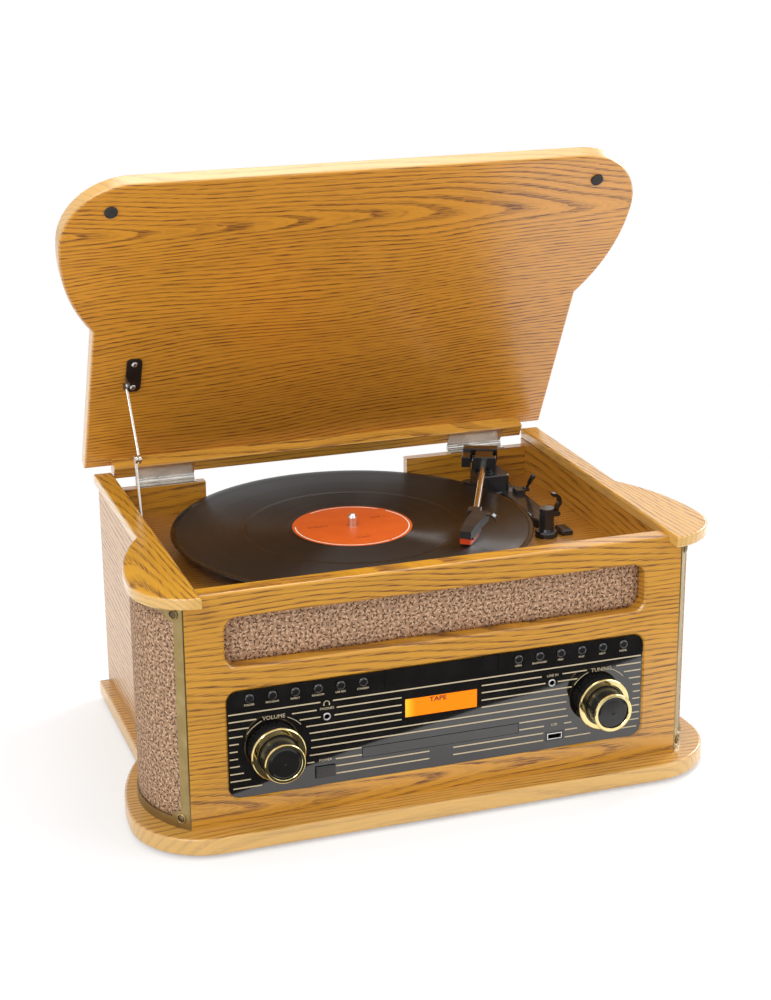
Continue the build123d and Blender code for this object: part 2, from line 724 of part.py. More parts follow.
def make_arm_base():
    plate_top = deck_top + plate_up
    strip_x = arm_x + strip_right
    strip_end = rest_y + strip_short
    plate = Pos(arm_x + plate_right, arm_y) * RectangleRounded(plate_w, plate_d, plate_corner)
    plate += Pos(strip_x, (arm_y + strip_end) / 2) * Rectangle(strip_w, arm_y - strip_end)
    plate += Pos(strip_x, strip_end) * Circle(strip_w / 2)
    base = Pos(0, 0, deck_top) * extrude(plate, plate_up)
    base = chamfer(base.faces().sort_by(Axis.Z)[-1].edges(), 1)
    housing = extrude(RectangleRounded(housing_w, housing_d, housing_corner), housing_up - plate_up)
    housing = Pos(arm_x + housing_right, arm_y - housing_front, plate_top) * housing
    housing = chamfer(housing.faces().sort_by(Axis.Z)[-1].edges(), 1)
    base += housing + post(arm_x, arm_y, housing_top, housing_top + pivot_h, pivot_r)
    cue_z = plate_top + cue_block_h * 0.7
    cue_x = arm_x + cue_right
    half = cue_block_d / 2
    base += box(cue_x - cue_block_w, cue_x, cue_y - half, cue_y + half, plate_top, plate_top + cue_block_h)
    base += rod_x(cue_x - 1, cue_x + 5, cue_y, cue_z, pin_r)

    saddle = tube_height(hypot(rest_x - arm_x, rest_y - arm_y)) - tube_r - clear
    foot_top = deck_top + rest_foot_h
    stand = turned([(0, deck_top), (rest_foot_r, deck_top), (rest_foot_r, foot_top - 1.2),
                    (rest_foot_r - 1.2, foot_top), (rest_r + 0.8, foot_top), (rest_r, foot_top + 2),
                    (rest_r, saddle), (0, saddle)], rest_x, rest_y)
    hinge_at = rest_x + rest_r + clip_eye_r + clear
    pivot_z = saddle - 5
    ear_in = clip_w / 2 + clear
    ear_out = ear_in + 1.8
    for y0, y1 in ((rest_y - ear_out, rest_y - ear_in), (rest_y + ear_in, rest_y + ear_out)):
        stand += box(rest_x, hinge_at, y0, y1, pivot_z - 2, pivot_z + 2)
        stand += rod_y(hinge_at, y0, y1, pivot_z, 2)
    stand += rod_y(hinge_at, rest_y - ear_out, rest_y + ear_out, pivot_z, 1)
    keep("tonearm_base", base, stand)

    hook_x = rest_x + 5.2
    hook_z = saddle + 5.1
    ring = Circle(clip_r + clip_t / 2) - Circle(clip_r - clip_t / 2)
    far = 3 * clip_r
    start = (far * cos(radians(-55)), far * sin(radians(-55)))
    tip = (far * cos(radians(95)), far * sin(radians(95)))
    wedge = make_face(Polyline((0, 0), start, (far * 1.3, 0), (far, far * 1.3), tip, close=True))
    hook = Pos(hook_x, 0, hook_z) * Rot(90, 0, 0) * extrude(ring & wedge, clip_w)
    foot_x = hook_x + clip_r * cos(radians(-50))
    foot_z = hook_z + clip_r * sin(radians(-50))
    stem = Polyline((hinge_at - 1.2, pivot_z), (hinge_at + 1.2, pivot_z), (foot_x + 1.2, foot_z + 1),
                    (foot_x - 1.2, foot_z), close=True)
    clip = Pos(0, rest_y + clip_w / 2, 0) * (hook + Rot(90, 0, 0) * extrude(make_face(stem), clip_w))
    clip += rod_y(hinge_at, rest_y - clip_w / 2, rest_y + clip_w / 2, pivot_z, clip_eye_r)
    keep("arm_rest_clip", clip - rod_y(hinge_at, rest_y - clip_w, rest_y + clip_w, pivot_z, 1 + run_gap))

    lever = rod_x(cue_x + clear, cue_x + 5, cue_y, cue_z, 2.4)
    stick = turned([(0, 0), (1.2, 0), (1.2, cue_len * 0.38), (2.1, cue_len * 0.44), (2.3, cue_len - 1.6),
                    (1.4, cue_len), (0, cue_len)])
    lever += Pos(cue_x + 2.8, cue_y, cue_z) * Rot(cue_lean, 0, 0) * stick
    keep("cue_lever", lever - rod_x(cue_x, cue_x + 6, cue_y, cue_z, pin_r + run_gap))
    keep("speed_lever", bevelled(speed_x - speed_w / 2, speed_x + speed_w / 2, speed_y - speed_len / 2,
                                 speed_y + speed_len / 2, deck_top + clear, deck_top + speed_h, 1.4))


def make_arm():
    disc_low = housing_top + clear
    fork_out = fork_half + fork_t
    turret = post(0, 0, disc_low, disc_low + turret_t, fork_out)
    for cheek in both(box(fork_half, fork_out, -fork_eye_r, fork_eye_r, disc_low, arm_z)):
        turret += cheek
    for eye in both(rod_x(fork_half, fork_out, 0, arm_z, fork_eye_r)):
        turret += eye
    turret -= post(0, 0, disc_low - 1, disc_low + turret_t + 1, pivot_r + run_gap)
    turret -= rod_x(-2 * fork_out, 2 * fork_out, 0, arm_z, pin_r + run_gap)
    keep("tonearm_turret", placed_arm(turret))

    under = arm_z - 4.3
    over = arm_z + 7.5
    beam = fork_half - clear
    rear = fork_out + clear
    bevel = 0.8
    block = bevelled(-9, 11, -tube_start, -6, under + 0.8, over, bevel)
    block += box(-beam, beam, -7, rear + 1, under, over - bevel)
    block += bevelled(-19.5, 11, rear, 22, under, over + 0.5, bevel)
    block += bevelled(-19.5, -rear - 0.9, -9, rear + 1, under + 1, over - 1.5, bevel)
    block += rod_x(-fork_out - 0.6, fork_out + 0.6, 0, arm_z, pin_r)
    keep("counterweight", placed_arm(block))

    tilt = degrees(atan2(tube_fall, tube_end - tube_start))
    middle = (tube_start + tube_end) / 2
    tube = Pos(0, -middle, tube_height(middle)) * Rot(90 + tilt, 0, 0) * Cylinder(tube_r, tube_end)
    tube &= box(-10, 10, -tube_end, -tube_start, tube_front_z - 10, arm_z + 10)
    keep("tonearm_tube", placed_arm(tube))

    collar = box(-6.5, 5, -collar_end, -tube_end, tube_front_z - 4, tube_front_z + 4)
    collar = fillet(collar.edges().filter_by(Axis.Y), 1.5)
    sections = []
    for along, wide, low, high in ((0, 14, -3.6, 4.2), (head_len * 0.4, 13, -3.4, 3.8),
                                   (head_len * 0.8, 10.5, -4.4, 2.6), (head_len, 9.5, -5.4, 0.6)):
        outline = Rectangle(wide, high - low)
        sections.append(Pos(0, -along, tube_front_z + (low + high) / 2) * Rot(90, 0, 0) * outline)
    shell = loft(sections, ruled=True)
    lift = Polyline((6, 4), (11.5, 4), (14, 2.5), (15.2, -1.5), (14.2, -1.8), (13, 1.6), (11, 2.8),
                    (6, 2.8), close=True)
    shell += Pos(0, -2, tube_front_z) * Rot(90, 0, 0) * extrude(make_face(lift), 6)
    place = Pos(head_side, -collar_end, 0) * Rot(0, 0, -head_turn)
    head_z = tube_front_z - head_depth
    cartridge = box(-cartridge_w / 2, cartridge_w / 2, cartridge_front - head_len, -cartridge_back, head_z,
                    tube_front_z) - shell
    cartridge = cartridge.solids().sort_by(Axis.Z)[0]
    keep("headshell", placed_arm(collar + place * shell),
         placed_arm(place * cartridge))

    tip_z = record_top - record_dip + stylus_gap
    side = Polyline((-head_len - 1, head_z + 2.6), (-head_len + 5, head_z), (-18, head_z), (-18, head_z - 1),
                    (-head_len + 8, tip_z + 0.8), (-head_len - 0.5, tip_z + 1.8), close=True)
    body = extrude(Plane.YZ * make_face(side), 4.4, both=True) - cartridge - shell
    needle = Pos(0, -head_len + 5, tip_z) * Cone(0.2, 0.8, 1.6, align=(Align.CENTER, Align.CENTER, Align.MIN))
    keep("stylus", placed_arm(place * (body + needle)))


def make_knob(side, name):
    """A knob made facing up, then turned to face forward."""
    back = clear - facia_in
    ribs = []
    for i in range(2 * knob_ribs):
        r = skirt_r if i % 2 else skirt_r - rib_depth
        turn = radians(180 * i / knob_ribs)
        ribs.append((r * cos(turn), r * sin(turn)))
    skirt = Pos(0, 0, back) * extrude(make_face(Polyline(*ribs, close=True)), skirt_front - back)
    step_in = nose_r + 1.5
    nose_back = nose_front - ring_t
    cap_r = nose_ring_r - ring_wall
    nose = turned([(0, skirt_front), (step_in, skirt_front), (step_in, step_front - 0.4),
                   (nose_r + 0.6, step_front - 0.4), (nose_r - 0.8, nose_back), (cap_r, nose_back),
                   (cap_r, nose_front - 1.2), (cap_r - 2, nose_front - 0.4), (0, nose_front - 0.2)])
    shaft = post(0, 0, clear - board_y, back + 1, shaft_r)
    step = turned([(step_in, skirt_front), (step_r - 0.6, skirt_front), (step_r, skirt_front + 0.7),
                   (step_r - 0.3, step_front - 0.5), (step_r - 1, step_front), (step_in + 0.8, step_front),
                   (step_in, step_front - 0.5)])
    ring = turned([(cap_r, nose_back), (nose_ring_r - 0.5, nose_back), (nose_ring_r, nose_back + 0.6),
                   (nose_ring_r - 0.2, nose_front - 0.4), (nose_ring_r - 0.8, nose_front),
                   (cap_r + 0.4, nose_front), (cap_r, nose_front - 0.5)])
    place = Pos(side * knob_x, 0, knob_z) * Rot(90, 0, 0)
    keep(name, place * (skirt + nose + shaft), place * step, place * ring)


def make_buttons():
    flange_front = facia_back + clear
    stem_back = board_y - clear - button_travel
    for side, word in ((-1, "left"), (1, "right")):
        for i in range(6):
            x = side * (button_first + i * button_pitch)
            cap = rod_y(x, strip_y - button_out, flange_front, button_z, button_r)
            cap = fillet(cap.faces().sort_by(Axis.Y)[0].edges(), button_out * 0.85)
            cap += rod_y(x, flange_front, flange_front + 1, button_z, button_r + button_flange)
            cap += rod_y(x, flange_front, stem_back, button_z, button_r / 2)
            keep("button_%s_%d" % (word, i + 1), cap)
    half = power_w / 2
    rim = half + button_flange
    tall = power_h / 2
    power = box(power_x - half, power_x + half, strip_y - 1.2, flange_front, power_z - tall, power_z + tall)
    power = fillet(power.faces().sort_by(Axis.Y)[0].edges(), 0.8)
    tall += button_flange
    power += box(power_x - rim, power_x + rim, flange_front, flange_front + 1, power_z - tall, power_z + tall)
    power += box(power_x - 3, power_x + 3, flange_front, stem_back - 1, power_z - 2, power_z + 2)
    keep("power_button", power)


def make_facia():
    facia = window_fill(window_half, facia_low, facia_high, facia_in, facia_back, facia_corner)
    strip_low = facia_high - strip_h
    strip = window_fill(window_half, facia_low, facia_high, strip_y, facia_in + 1, facia_corner)
    strip &= box(-window_half, window_half, strip_y, facia_in + 1, strip_low, facia_high)
    for x in (-strip_break, strip_break):
        strip -= box(x - groove / 2, x + groove / 2, strip_y - 1, facia_in, strip_low, facia_high)
    facia += strip
    low = display_z - display_h / 2
    high = display_z + display_h / 2
    facia -= box(-display_half, display_half, 0, panel_t, low, high)
    keep("display_window", box(-display_half, display_half, facia_in + clear, facia_back + 2, low, high))
    facia -= box(-drawer_half - hole_gap, drawer_half + hole_gap, 0, panel_t, drawer_low - hole_gap,
                 drawer_high + hole_gap)
    half = power_w / 2 + clear
    tall = power_h / 2 + clear
    facia -= box(power_x - half, power_x + half, 0, panel_t, power_z - tall, power_z + tall)
    sockets = []
    for side in (-1, 1):
        facia -= rod_y(side * knob_x, 0, panel_t, knob_z, shaft_r + clear)
        for i in range(6):
            x = side * (button_first + i * button_pitch)
            facia -= rod_y(x, -1, panel_t, button_z, button_r + hole_gap)
        x = side * jack_x
        facia -= rod_y(x, 0, panel_t, jack_z, jack_r + jack_wall)
        barrel = rod_y(x, facia_in, facia_in + jack_len + 1, jack_z, jack_r + jack_wall)
        sockets.append(barrel - rod_y(x, 0, facia_in + jack_len, jack_z, jack_r))
    half = usb_w / 2
    rim = half + usb_rim
    tall = usb_h / 2 + usb_rim
    usb = box(usb_x - rim, usb_x + rim, facia_in, facia_in + usb_len, usb_z - tall, usb_z + tall)
    facia -= usb
    usb -= box(usb_x - half, usb_x + half, 0, facia_in + usb_len - 2, usb_z - usb_h / 2, usb_z + usb_h / 2)
    tongue_top = usb_z + usb_h / 2 - usb_rim / 3
    usb += box(usb_x - half + usb_rim / 3, usb_x + half - usb_rim / 3, facia_in + usb_tongue_in,
               facia_in + usb_len - 1, tongue_top - usb_tongue_t, tongue_top)
    keep("front_sockets", *sockets, usb)
    keep("facia", facia)


def make_electronics():
    """Circuit boards and the transformer inside the box."""
    low = display_z + display_h / 2 + 1
    end = window_half - button_end / 2
    board = box(-end, end, board_y, board_y + board_t, low, facia_high - 0.5)
    studs = []
    for x in (button_first + button_pitch / 2, button_first + 4.5 * button_pitch):
        studs += both(rod_y(x, facia_back, board_y, button_z, stud_r))
    power_low = facia_low + 1
    left = power_x - power_board_in
    power_board = box(left, left + power_board_w, board_y, board_y + board_t, power_low,
                      power_z + power_h)
    studs.append(rod_y(left + 4 * stud_r, facia_back, board_y, power_low + 2 * stud_r, stud_r))
    top = plinth_top + amp_up
    right = inner_half - amp_in
    back = back_face - amp_back
    amplifier = box(right - amp_w, right, back - amp_d, back, top, top + board_t)
    legs = [post(x, y, plinth_top, top, amp_leg_r) for x in (right - amp_w + amp_leg_in, right - amp_leg_in)
            for y in (back - amp_d + amp_leg_in, back - amp_leg_in)]
    keep("circuit_boards", board, power_board, *studs, amplifier, *legs)
    x = core_in + core_w / 2 - inner_half
    y = back - winding_d / 2
    z = plinth_top + core_h / 2
    core = Pos(x, y, z) * Box(core_w, core_d, core_h)
    winding = Pos(x, y, z) * Box(winding_w, winding_d, winding_h)
    core = chamfer(core.edges().filter_by(Axis.Y), 3)
    winding = fillet(winding.edges().filter_by(Axis.Y), 5)
    keep("transformer", core + winding)


def make_drawer():
    tray_half = drawer_half - 2
    tray_back = facia_in + drawer_depth
    door = box(-drawer_half, drawer_half, facia_in - 0.2, facia_back + 1, drawer_low, drawer_high)
    tray_top = drawer_low + tray_t
    tray = box(-tray_half, tray_half, facia_back, tray_back, drawer_low, tray_top)
    middle = facia_back + 3 + disc_r
    tray -= post(0, middle, tray_top - disc_sink, drawer_high + 1, disc_r)
    slot = 19
    tray -= post(0, middle, drawer_low - 1, drawer_high, slot)
    tray -= box(-slot, slot, middle, middle + disc_r + 8, drawer_low - 1, drawer_high)
    keep("cd_tray", door + tray)
    rail = tray_half + clear
    outer = rail + loader_wall
    roof = drawer_high + loader_roof
    back = tray_back + 8
    floor_top = drawer_low - clear
    floor_low = floor_top - loader_wall
    loader = box(-outer, outer, panel_t, back, plinth_top, roof + loader_wall)
    loader -= box(-rail, rail, panel_t - 1, back - loader_wall, floor_top, roof)
    loader -= box(-rail, rail, panel_t - 1, back - loader_wall, plinth_top - 1, floor_low)
    half = loader_open_half
    loader -= box(-half, half, middle - half, middle + loader_open_back, floor_low - 1, floor_top + 1)
    loader += box(-half, half, middle - loader_bridge, middle + loader_bridge, floor_low, floor_top - 1)
    hub = turned([(0, floor_low), (16, floor_low), (16, floor_top - 1), (7.3, floor_top), (0, floor_top)],
                 0, middle)
    keep("cd_mechanism", loader + hub)


def save_all():
    """Write each piece, with the origin moved to the middle of the footprint."""
    os.makedirs("parts", exist_ok=True)
    boxes = [solid.bounding_box() for group in pieces.values() for solid in group]
    low = min(one.min.Y for one in boxes)
    high = max(one.max.Y for one in boxes)
    middle = Pos(0, -(low + high) / 2, 0)
    for name, group in pieces.items():
        moved = [middle * solid for solid in group]
        export_step(moved[0] if len(moved) == 1 else Compound(children=moved), "parts/%s.step" % name)
    print("pieces", len(pieces), "middle of the footprint is", round((low + high) / 2, 3), "behind the panel")


make_plinth()
make_walls()
make_front()
make_back()
make_pods()
make_deck()
make_lid()
make_hinges()
make_stay()
make_arm_base()
make_arm()
make_facia()
make_knob(-1, "volume_knob")
make_knob(1, "tuning_knob")
make_buttons()
make_electronics()
make_drawer()
save_all()
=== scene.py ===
# %% [markdown]
# # A wooden record player
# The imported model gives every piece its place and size. This script gives each piece its material, replaces
# the cloths, and adds what is too fine for the solids, such as printed words, screws and the record's
# label. Lengths are in metres unless a comment says millimetres.

# %% Load the solids
import json
from math import cos, pi, radians, sin

import bpy
import numpy as np
from mathutils import Matrix, Vector


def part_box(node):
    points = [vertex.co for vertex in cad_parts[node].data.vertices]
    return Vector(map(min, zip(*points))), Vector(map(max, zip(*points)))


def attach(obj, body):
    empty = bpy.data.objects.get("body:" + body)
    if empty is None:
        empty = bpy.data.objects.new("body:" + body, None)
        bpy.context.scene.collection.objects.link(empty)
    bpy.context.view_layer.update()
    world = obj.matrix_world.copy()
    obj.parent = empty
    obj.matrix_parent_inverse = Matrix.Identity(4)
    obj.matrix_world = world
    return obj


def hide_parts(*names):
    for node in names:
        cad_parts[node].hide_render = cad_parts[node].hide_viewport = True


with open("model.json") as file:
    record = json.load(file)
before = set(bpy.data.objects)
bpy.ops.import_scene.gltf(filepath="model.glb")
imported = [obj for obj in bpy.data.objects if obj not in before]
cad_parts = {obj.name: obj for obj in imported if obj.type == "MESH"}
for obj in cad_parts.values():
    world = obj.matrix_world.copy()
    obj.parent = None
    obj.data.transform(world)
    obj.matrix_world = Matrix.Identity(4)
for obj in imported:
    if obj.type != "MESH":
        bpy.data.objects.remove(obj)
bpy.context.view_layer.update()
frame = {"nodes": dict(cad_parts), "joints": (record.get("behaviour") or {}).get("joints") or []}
mm = 0.001
front_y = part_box("front_panel")[0][1]
hinge = next(joint for joint in frame["joints"] if joint["name"] == "lid_hinge")
lid_open = radians(hinge["range_deg"][1])

# %% [markdown]
# ## The camera
# The place and aim of the camera were worked out from the record's ellipse and the box's edges. The lens is
# given for a 36 mm high sensor, so the picture's height decides how much is seen.

# %% Camera
camera_place = Vector((-0.5066, -1.4983, 0.7446))
camera_aim = Vector((0.3065, 0.8964, -0.3201))
camera_roll = radians(-0.39)
lens = bpy.data.cameras.new("camera")
lens.sensor_fit = "VERTICAL"
lens.sensor_height = 36
lens.lens = 73.17
camera = bpy.data.objects.new("camera", lens)
turn = camera_aim.to_track_quat("-Z", "Y").to_matrix().to_4x4() @ Matrix.Rotation(camera_roll, 4, "Z")
camera.matrix_world = Matrix.Translation(camera_place) @ turn
bpy.context.scene.collection.objects.link(camera)
bpy.context.scene.camera = camera
print("camera is", round(camera_place.length, 2), "m from the player's middle")

# %% [markdown]
# ## Nodes in short
# Materials are trees of nodes. These helpers add one node and join its inputs in a single call, so that a
# recipe reads as a list of steps.


# %% Node helpers
def fill(tree, node, inputs):
    """Give a node's inputs their values; the output of another node is joined to its input."""
    for name, value in dict(inputs).items():
        if isinstance(value, bpy.types.NodeSocket):
            tree.links.new(value, node.inputs[name])
        else:
            node.inputs[name].default_value = value


def add_node(tree, kind, inputs=(), **settings):
    """One node with its settings and its inputs."""
    made = tree.nodes.new(kind)
    for name, value in settings.items():
        setattr(made, name, value)
    fill(tree, made, inputs)
    return made


def maths(tree, operation, *values, clamp=False):
    """One step of arithmetic on numbers or outputs."""
    step = add_node(tree, "ShaderNodeMath", enumerate(values), operation=operation, use_clamp=clamp)
    return step.outputs[0]


def plus(tree, first, second):
    """A sum of numbers or outputs."""
    return maths(tree, "ADD", first, second)


def minus(tree, first, second):
    """A difference of numbers or outputs."""
    return maths(tree, "SUBTRACT", first, second)


def times(tree, first, second):
    """A product of numbers or outputs."""
    return maths(tree, "MULTIPLY", first, second)


def blended(tree, factor, first, second):
    """A colour between two colours."""
    mix = add_node(tree, "ShaderNodeMix", {0: factor, 6: first, 7: second}, data_type="RGBA")
    return mix.outputs[2]


def stepped(tree, value, low, high):
    """0 below low and 1 above high, with a smooth rise between them."""
    return add_node(tree, "ShaderNodeMapRange", {"Value": value, "From Min": low, "From Max": high},
                    interpolation_type="SMOOTHSTEP").outputs[0]


def noise_at(tree, place, size, detail=2.0, roughness=0.5):
    """Smooth noise from 0 to 1; size is how many waves fit in a metre."""
    return add_node(tree, "ShaderNodeTexNoise", {"Vector": place, "Scale": size, "Detail": detail,
                                                 "Roughness": roughness}).outputs["Fac"]


def stretched(tree, place, x, y, z):
    """A place with each direction scaled by itself."""
    return add_node(tree, "ShaderNodeVectorMath", {0: place, 1: (x, y, z)}, operation="MULTIPLY").outputs[0]


def parts_of(tree, place):
    """The three numbers of a place or a colour."""
    return add_node(tree, "ShaderNodeSeparateXYZ", {0: place}).outputs


def far_from_axis(tree, first, second):
    """The distance from an axis: the root of the sum of two squares."""
    return maths(tree, "SQRT", plus(tree, maths(tree, "POWER", first, 2.0),
                                    maths(tree, "POWER", second, 2.0)))


def bumped(tree, height, strength, distance=0.1 * mm):
    """The surface's normal, tilted by a height that changes over it."""
    return add_node(tree, "ShaderNodeBump", {"Height": height, "Strength": strength,
                                             "Distance": distance}).outputs[0]


print("thirteen helpers for nodes")

# %% [markdown]
# ## New groups and materials
# A group is a recipe that many materials share, and each sets its named inputs to its own values. A material
# starts with its shader and the object's coordinates, so that its pattern moves with the piece.


# %% Groups and materials
def new_group(name, inputs, outputs):
    """A node group with named inputs and outputs, and its two end nodes."""
    group = bpy.data.node_groups.new(name, "ShaderNodeTree")
    for kind, label, value in inputs:
        socket = group.interface.new_socket(label, in_out="INPUT", socket_type="NodeSocket" + kind)
        if value is not None:
            socket.default_value = value
    for kind, label in outputs:
        group.interface.new_socket(label, in_out="OUTPUT", socket_type="NodeSocket" + kind)
    return group, group.nodes.new("NodeGroupInput").outputs, group.nodes.new("NodeGroupOutput")


def new_material(name):
    """An empty material: its tree, its shader and the object coordinates."""
    material = bpy.data.materials.new(name)
    material.use_nodes = True
    tree = material.node_tree
    place = tree.nodes.new("ShaderNodeTexCoord").outputs["Object"]
    return material, tree, tree.nodes["Principled BSDF"], place


print("materials so far:", len(bpy.data.materials))

# %% [markdown]
# ## Oak grain
# Oak veneer is sliced along the trunk, so its year rings show as long lines, and as pointed arches where
# the cut runs nearly along a ring. A photograph of wood could be laid on it, but a procedural grain stays
# sharp and fits every board. The group works out each point's distance from the trunk's middle and bends
# it with slow noise. Each ring starts with open pores, which show as short dark dashes. The group's place
# runs along the grain in X, across it in Y and into the board in Z.

# %% Oak grain group
grain, given, result = new_group(
    "oak grain",
    [("Vector", "Place", None), ("Color", "Pale", (0.6, 0.3, 0.07, 1)),
     ("Color", "Dark", (0.2, 0.07, 0.012, 1)), ("Float", "Ring", 0.004), ("Float", "Depth", 0.05),
     ("Float", "Taper", 0.03)],
    [("Color", "Color"), ("Float", "Roughness"), ("Float", "Height")])
place = given["Place"]


def centred_noise(x, y, detail=1.0):
    """Noise about zero, with its own number of waves in a metre along and across the grain."""
    return minus(grain, noise_at(grain, stretched(grain, place, x, y, y), 1.0, detail), 0.5)


slow_bend, small_bend, jitter_bend = 50 * mm, 4.5 * mm, 1.0 * mm
parts = parts_of(grain, place)
slow = times(grain, centred_noise(3, 9), slow_bend)
small = times(grain, centred_noise(9, 40), small_bend)
jitter = times(grain, centred_noise(120, 420), jitter_bend)
across = plus(grain, parts[1], slow)
deep = plus(grain, parts[2], given["Depth"])
radius = far_from_axis(grain, across, deep)
radius = plus(grain, radius, times(grain, parts[0], given["Taper"]))
radius = plus(grain, radius, plus(grain, small, jitter))
print("oak grain bends its rings with", len([n for n in grain.nodes if n.type == "TEX_NOISE"]), "noises")

# %% [markdown]
# The distance now becomes a colour. Its fraction within a ring says how early in the year the wood grew.
# Early wood is dark and full of dashes, and late wood is pale with fine fibres. The share of the dark
# colour adds these up, each with its own weight, and a slow cloud makes some stretches darker.

# %% Oak grain colours
always_positive = 3.0
ring = maths(grain, "FRACT", maths(grain, "DIVIDE", plus(grain, radius, always_positive), given["Ring"]))
early = times(grain, stepped(grain, ring, 0.0, 0.10), minus(grain, 1.0, stepped(grain, ring, 0.12, 0.60)))
dashes = stepped(grain, noise_at(grain, stretched(grain, place, 42, 1300, 1300), 1.0, 1.0), 0.44, 0.60)
along_ring = add_node(grain, "ShaderNodeCombineXYZ", {0: times(grain, parts[0], 11.0),
                                                      1: times(grain, radius, 1150.0)}).outputs[0]
fibre = minus(grain, noise_at(grain, along_ring, 1.0, 2.0, 0.7), 0.5)
cloud = centred_noise(5, 22, 2.0)
year = centred_noise(2.2, 60, 1.0)
in_dashes = 0.65
pore_share = plus(grain, 1 - in_dashes, times(grain, dashes, in_dashes))
open_pores = times(grain, early, pore_share)
year_share, fibre_share, dash_share, cloud_share = 0.95, 1.35, 0.14, 0.35
share = times(grain, open_pores, plus(grain, year_share, year))
share = plus(grain, share, times(grain, fibre, fibre_share))
share = plus(grain, share, times(grain, dashes, dash_share))
share = maths(grain, "ADD", share, times(grain, cloud, cloud_share), clamp=True)
fill(grain, result, {
    "Color": blended(grain, share, given["Pale"], given["Dark"]),
    "Roughness": plus(grain, 0.34, times(grain, open_pores, 0.20)),
    "Height": minus(grain, 1.0, open_pores)})
print("oak grain has", len(grain.nodes), "nodes")


# %% [markdown]
# ## A lacquered oak for each board
# Every board is its own cut of veneer, so each has its own direction, arch and tone. The back and the deck
# are given darker colours as painted shade for the inside of the box under the lid. The boards' cut edges
# are paler and calmer than their faces. The lid stands open at a slant, so its coordinates are first
# turned back to flat.


# %% Lacquered oak
def oak(name, axes, origin, pale, dark, ring=0.004, depth=0.05, taper=0.03, edges=None,
        edge_pale=(0.72, 0.45, 0.14), tip=0.0, coat=0.9):
    """Lacquered oak. The three axes run along the grain, across it and into the board, and edges gives
    the places of the board's two faces on the last of them."""
    material, tree, shader, place = new_material(name)
    if tip:
        place = add_node(tree, "ShaderNodeMapping", {"Vector": place, "Rotation": (tip, 0, 0)}).outputs[0]
    part = parts_of(tree, place)
    order = ["xyz".index(axis) for axis in axes]
    own = [minus(tree, part[axis], start) for axis, start in zip(order, origin)]
    board = add_node(tree, "ShaderNodeGroup", node_tree=grain)
    fill(tree, board, {"Place": add_node(tree, "ShaderNodeCombineXYZ", enumerate(own)).outputs[0],
                       "Pale": (*pale, 1), "Dark": (*dark, 1), "Ring": ring, "Depth": depth,
                       "Taper": taper})
    tint = board.outputs["Color"]
    if edges:
        middle, half = (edges[0] + edges[1]) / 2, (edges[1] - edges[0]) / 2
        off = maths(tree, "ABSOLUTE", minus(tree, part[order[2]], middle))
        face = stepped(tree, off, half - 1.1 * mm, half - 0.2 * mm)
        calm = blended(tree, 0.62, tint, (*edge_pale, 1))
        tint = blended(tree, face, calm, tint)
    fill(tree, shader, {"Base Color": tint, "Roughness": board.outputs["Roughness"],
                        "Normal": bumped(tree, board.outputs["Height"], 0.2), "Coat Weight": coat,
                        "Coat Roughness": 0.24})
    return material


def heights_of(node):
    """Lowest and highest height of a node."""
    return [corner[2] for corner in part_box(node)]


print("materials so far:", len(bpy.data.materials))

# %% [markdown]
# ## The eight boards
# Each board's origin is a place in its own trunk, far from the others' so that no two grains repeat. The
# front and the lid are cut just off the trunk's middle, which gives them their pointed arches.

# %% Oak boards
front_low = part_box("front_panel")[0]
lid_under, lid_thickness = 243.4 * mm, 13.5 * mm
oak_front = oak("oak_front", "xzy", (0.30, front_low[2] + 12 * mm, front_y), (0.62, 0.290, 0.018),
                (0.165, 0.052, 0.004), ring=4.2 * mm, depth=12 * mm, taper=0.055)
oak_lid = oak("oak_lid", "xyz", (0.1, -0.365, lid_under), (0.66, 0.285, 0.022),
              (0.155, 0.042, 0.003), ring=3.8 * mm, depth=12 * mm, taper=0.065, tip=lid_open,
              edges=(lid_under, lid_under + lid_thickness), edge_pale=(0.70, 0.43, 0.12))
oak_batten = oak("oak_batten", "xyz", (1.7, -0.6, 0.2), (0.66, 0.33, 0.04), (0.20, 0.07, 0.006),
                 tip=lid_open)
oak_side = oak("oak_side", "yzx", (0.9, 0.35, 0.0), (0.54, 0.25, 0.028), (0.18, 0.062, 0.006),
               ring=4.5 * mm, coat=0.5)
oak_cap = oak("oak_cap", "yxz", (-0.2, -0.235, 0.19), (0.66, 0.33, 0.026), (0.17, 0.058, 0.005),
              ring=4.2 * mm, depth=20 * mm, taper=0.09, edges=heights_of("side_caps"))
oak_plinth = oak("oak_plinth", "xyz", (0.4, -0.35, 0.0), (0.62, 0.32, 0.055), (0.24, 0.095, 0.014),
                 ring=5 * mm, edges=heights_of("plinth_board"))
# The back and the deck: their darker pale and dark colours are painted shade for the inside of the box under
# the lid.
oak_back_painted_shade = oak("oak_back_painted_shade", "xzy", (1.3, 0.35, 0.0), (0.50, 0.225, 0.018), (0.15, 0.048, 0.004))
oak_deck_painted_shade = oak("oak_deck_painted_shade", "xyz", (2.1, -0.3, 0.0), (0.46, 0.20, 0.022), (0.16, 0.055, 0.006))
print("cuts of oak:", len([m for m in bpy.data.materials if m.name.startswith("oak_")]))


# %% [markdown]
# ## Plastics and metals
# Moulded plastic has a fine orange-peel surface, and metal trim has faint brushing. One group makes that
# fine relief for all of them; each material sets its size and strength.

# %% Fine relief
relief, given, result = new_group(
    "fine relief", [("Vector", "Place", None), ("Float", "Size", 900.0), ("Float", "Spread", 0.1),
                    ("Float", "Base", 0.3)],
    [("Float", "Roughness"), ("Float", "Height")])
wave = noise_at(relief, given["Place"], given["Size"], 2.0)
slow = noise_at(relief, given["Place"], 45.0, 2.0)
uneven = times(relief, minus(relief, slow, 0.5), given["Spread"])
fill(relief, result, {"Roughness": plus(relief, given["Base"], uneven), "Height": wave})


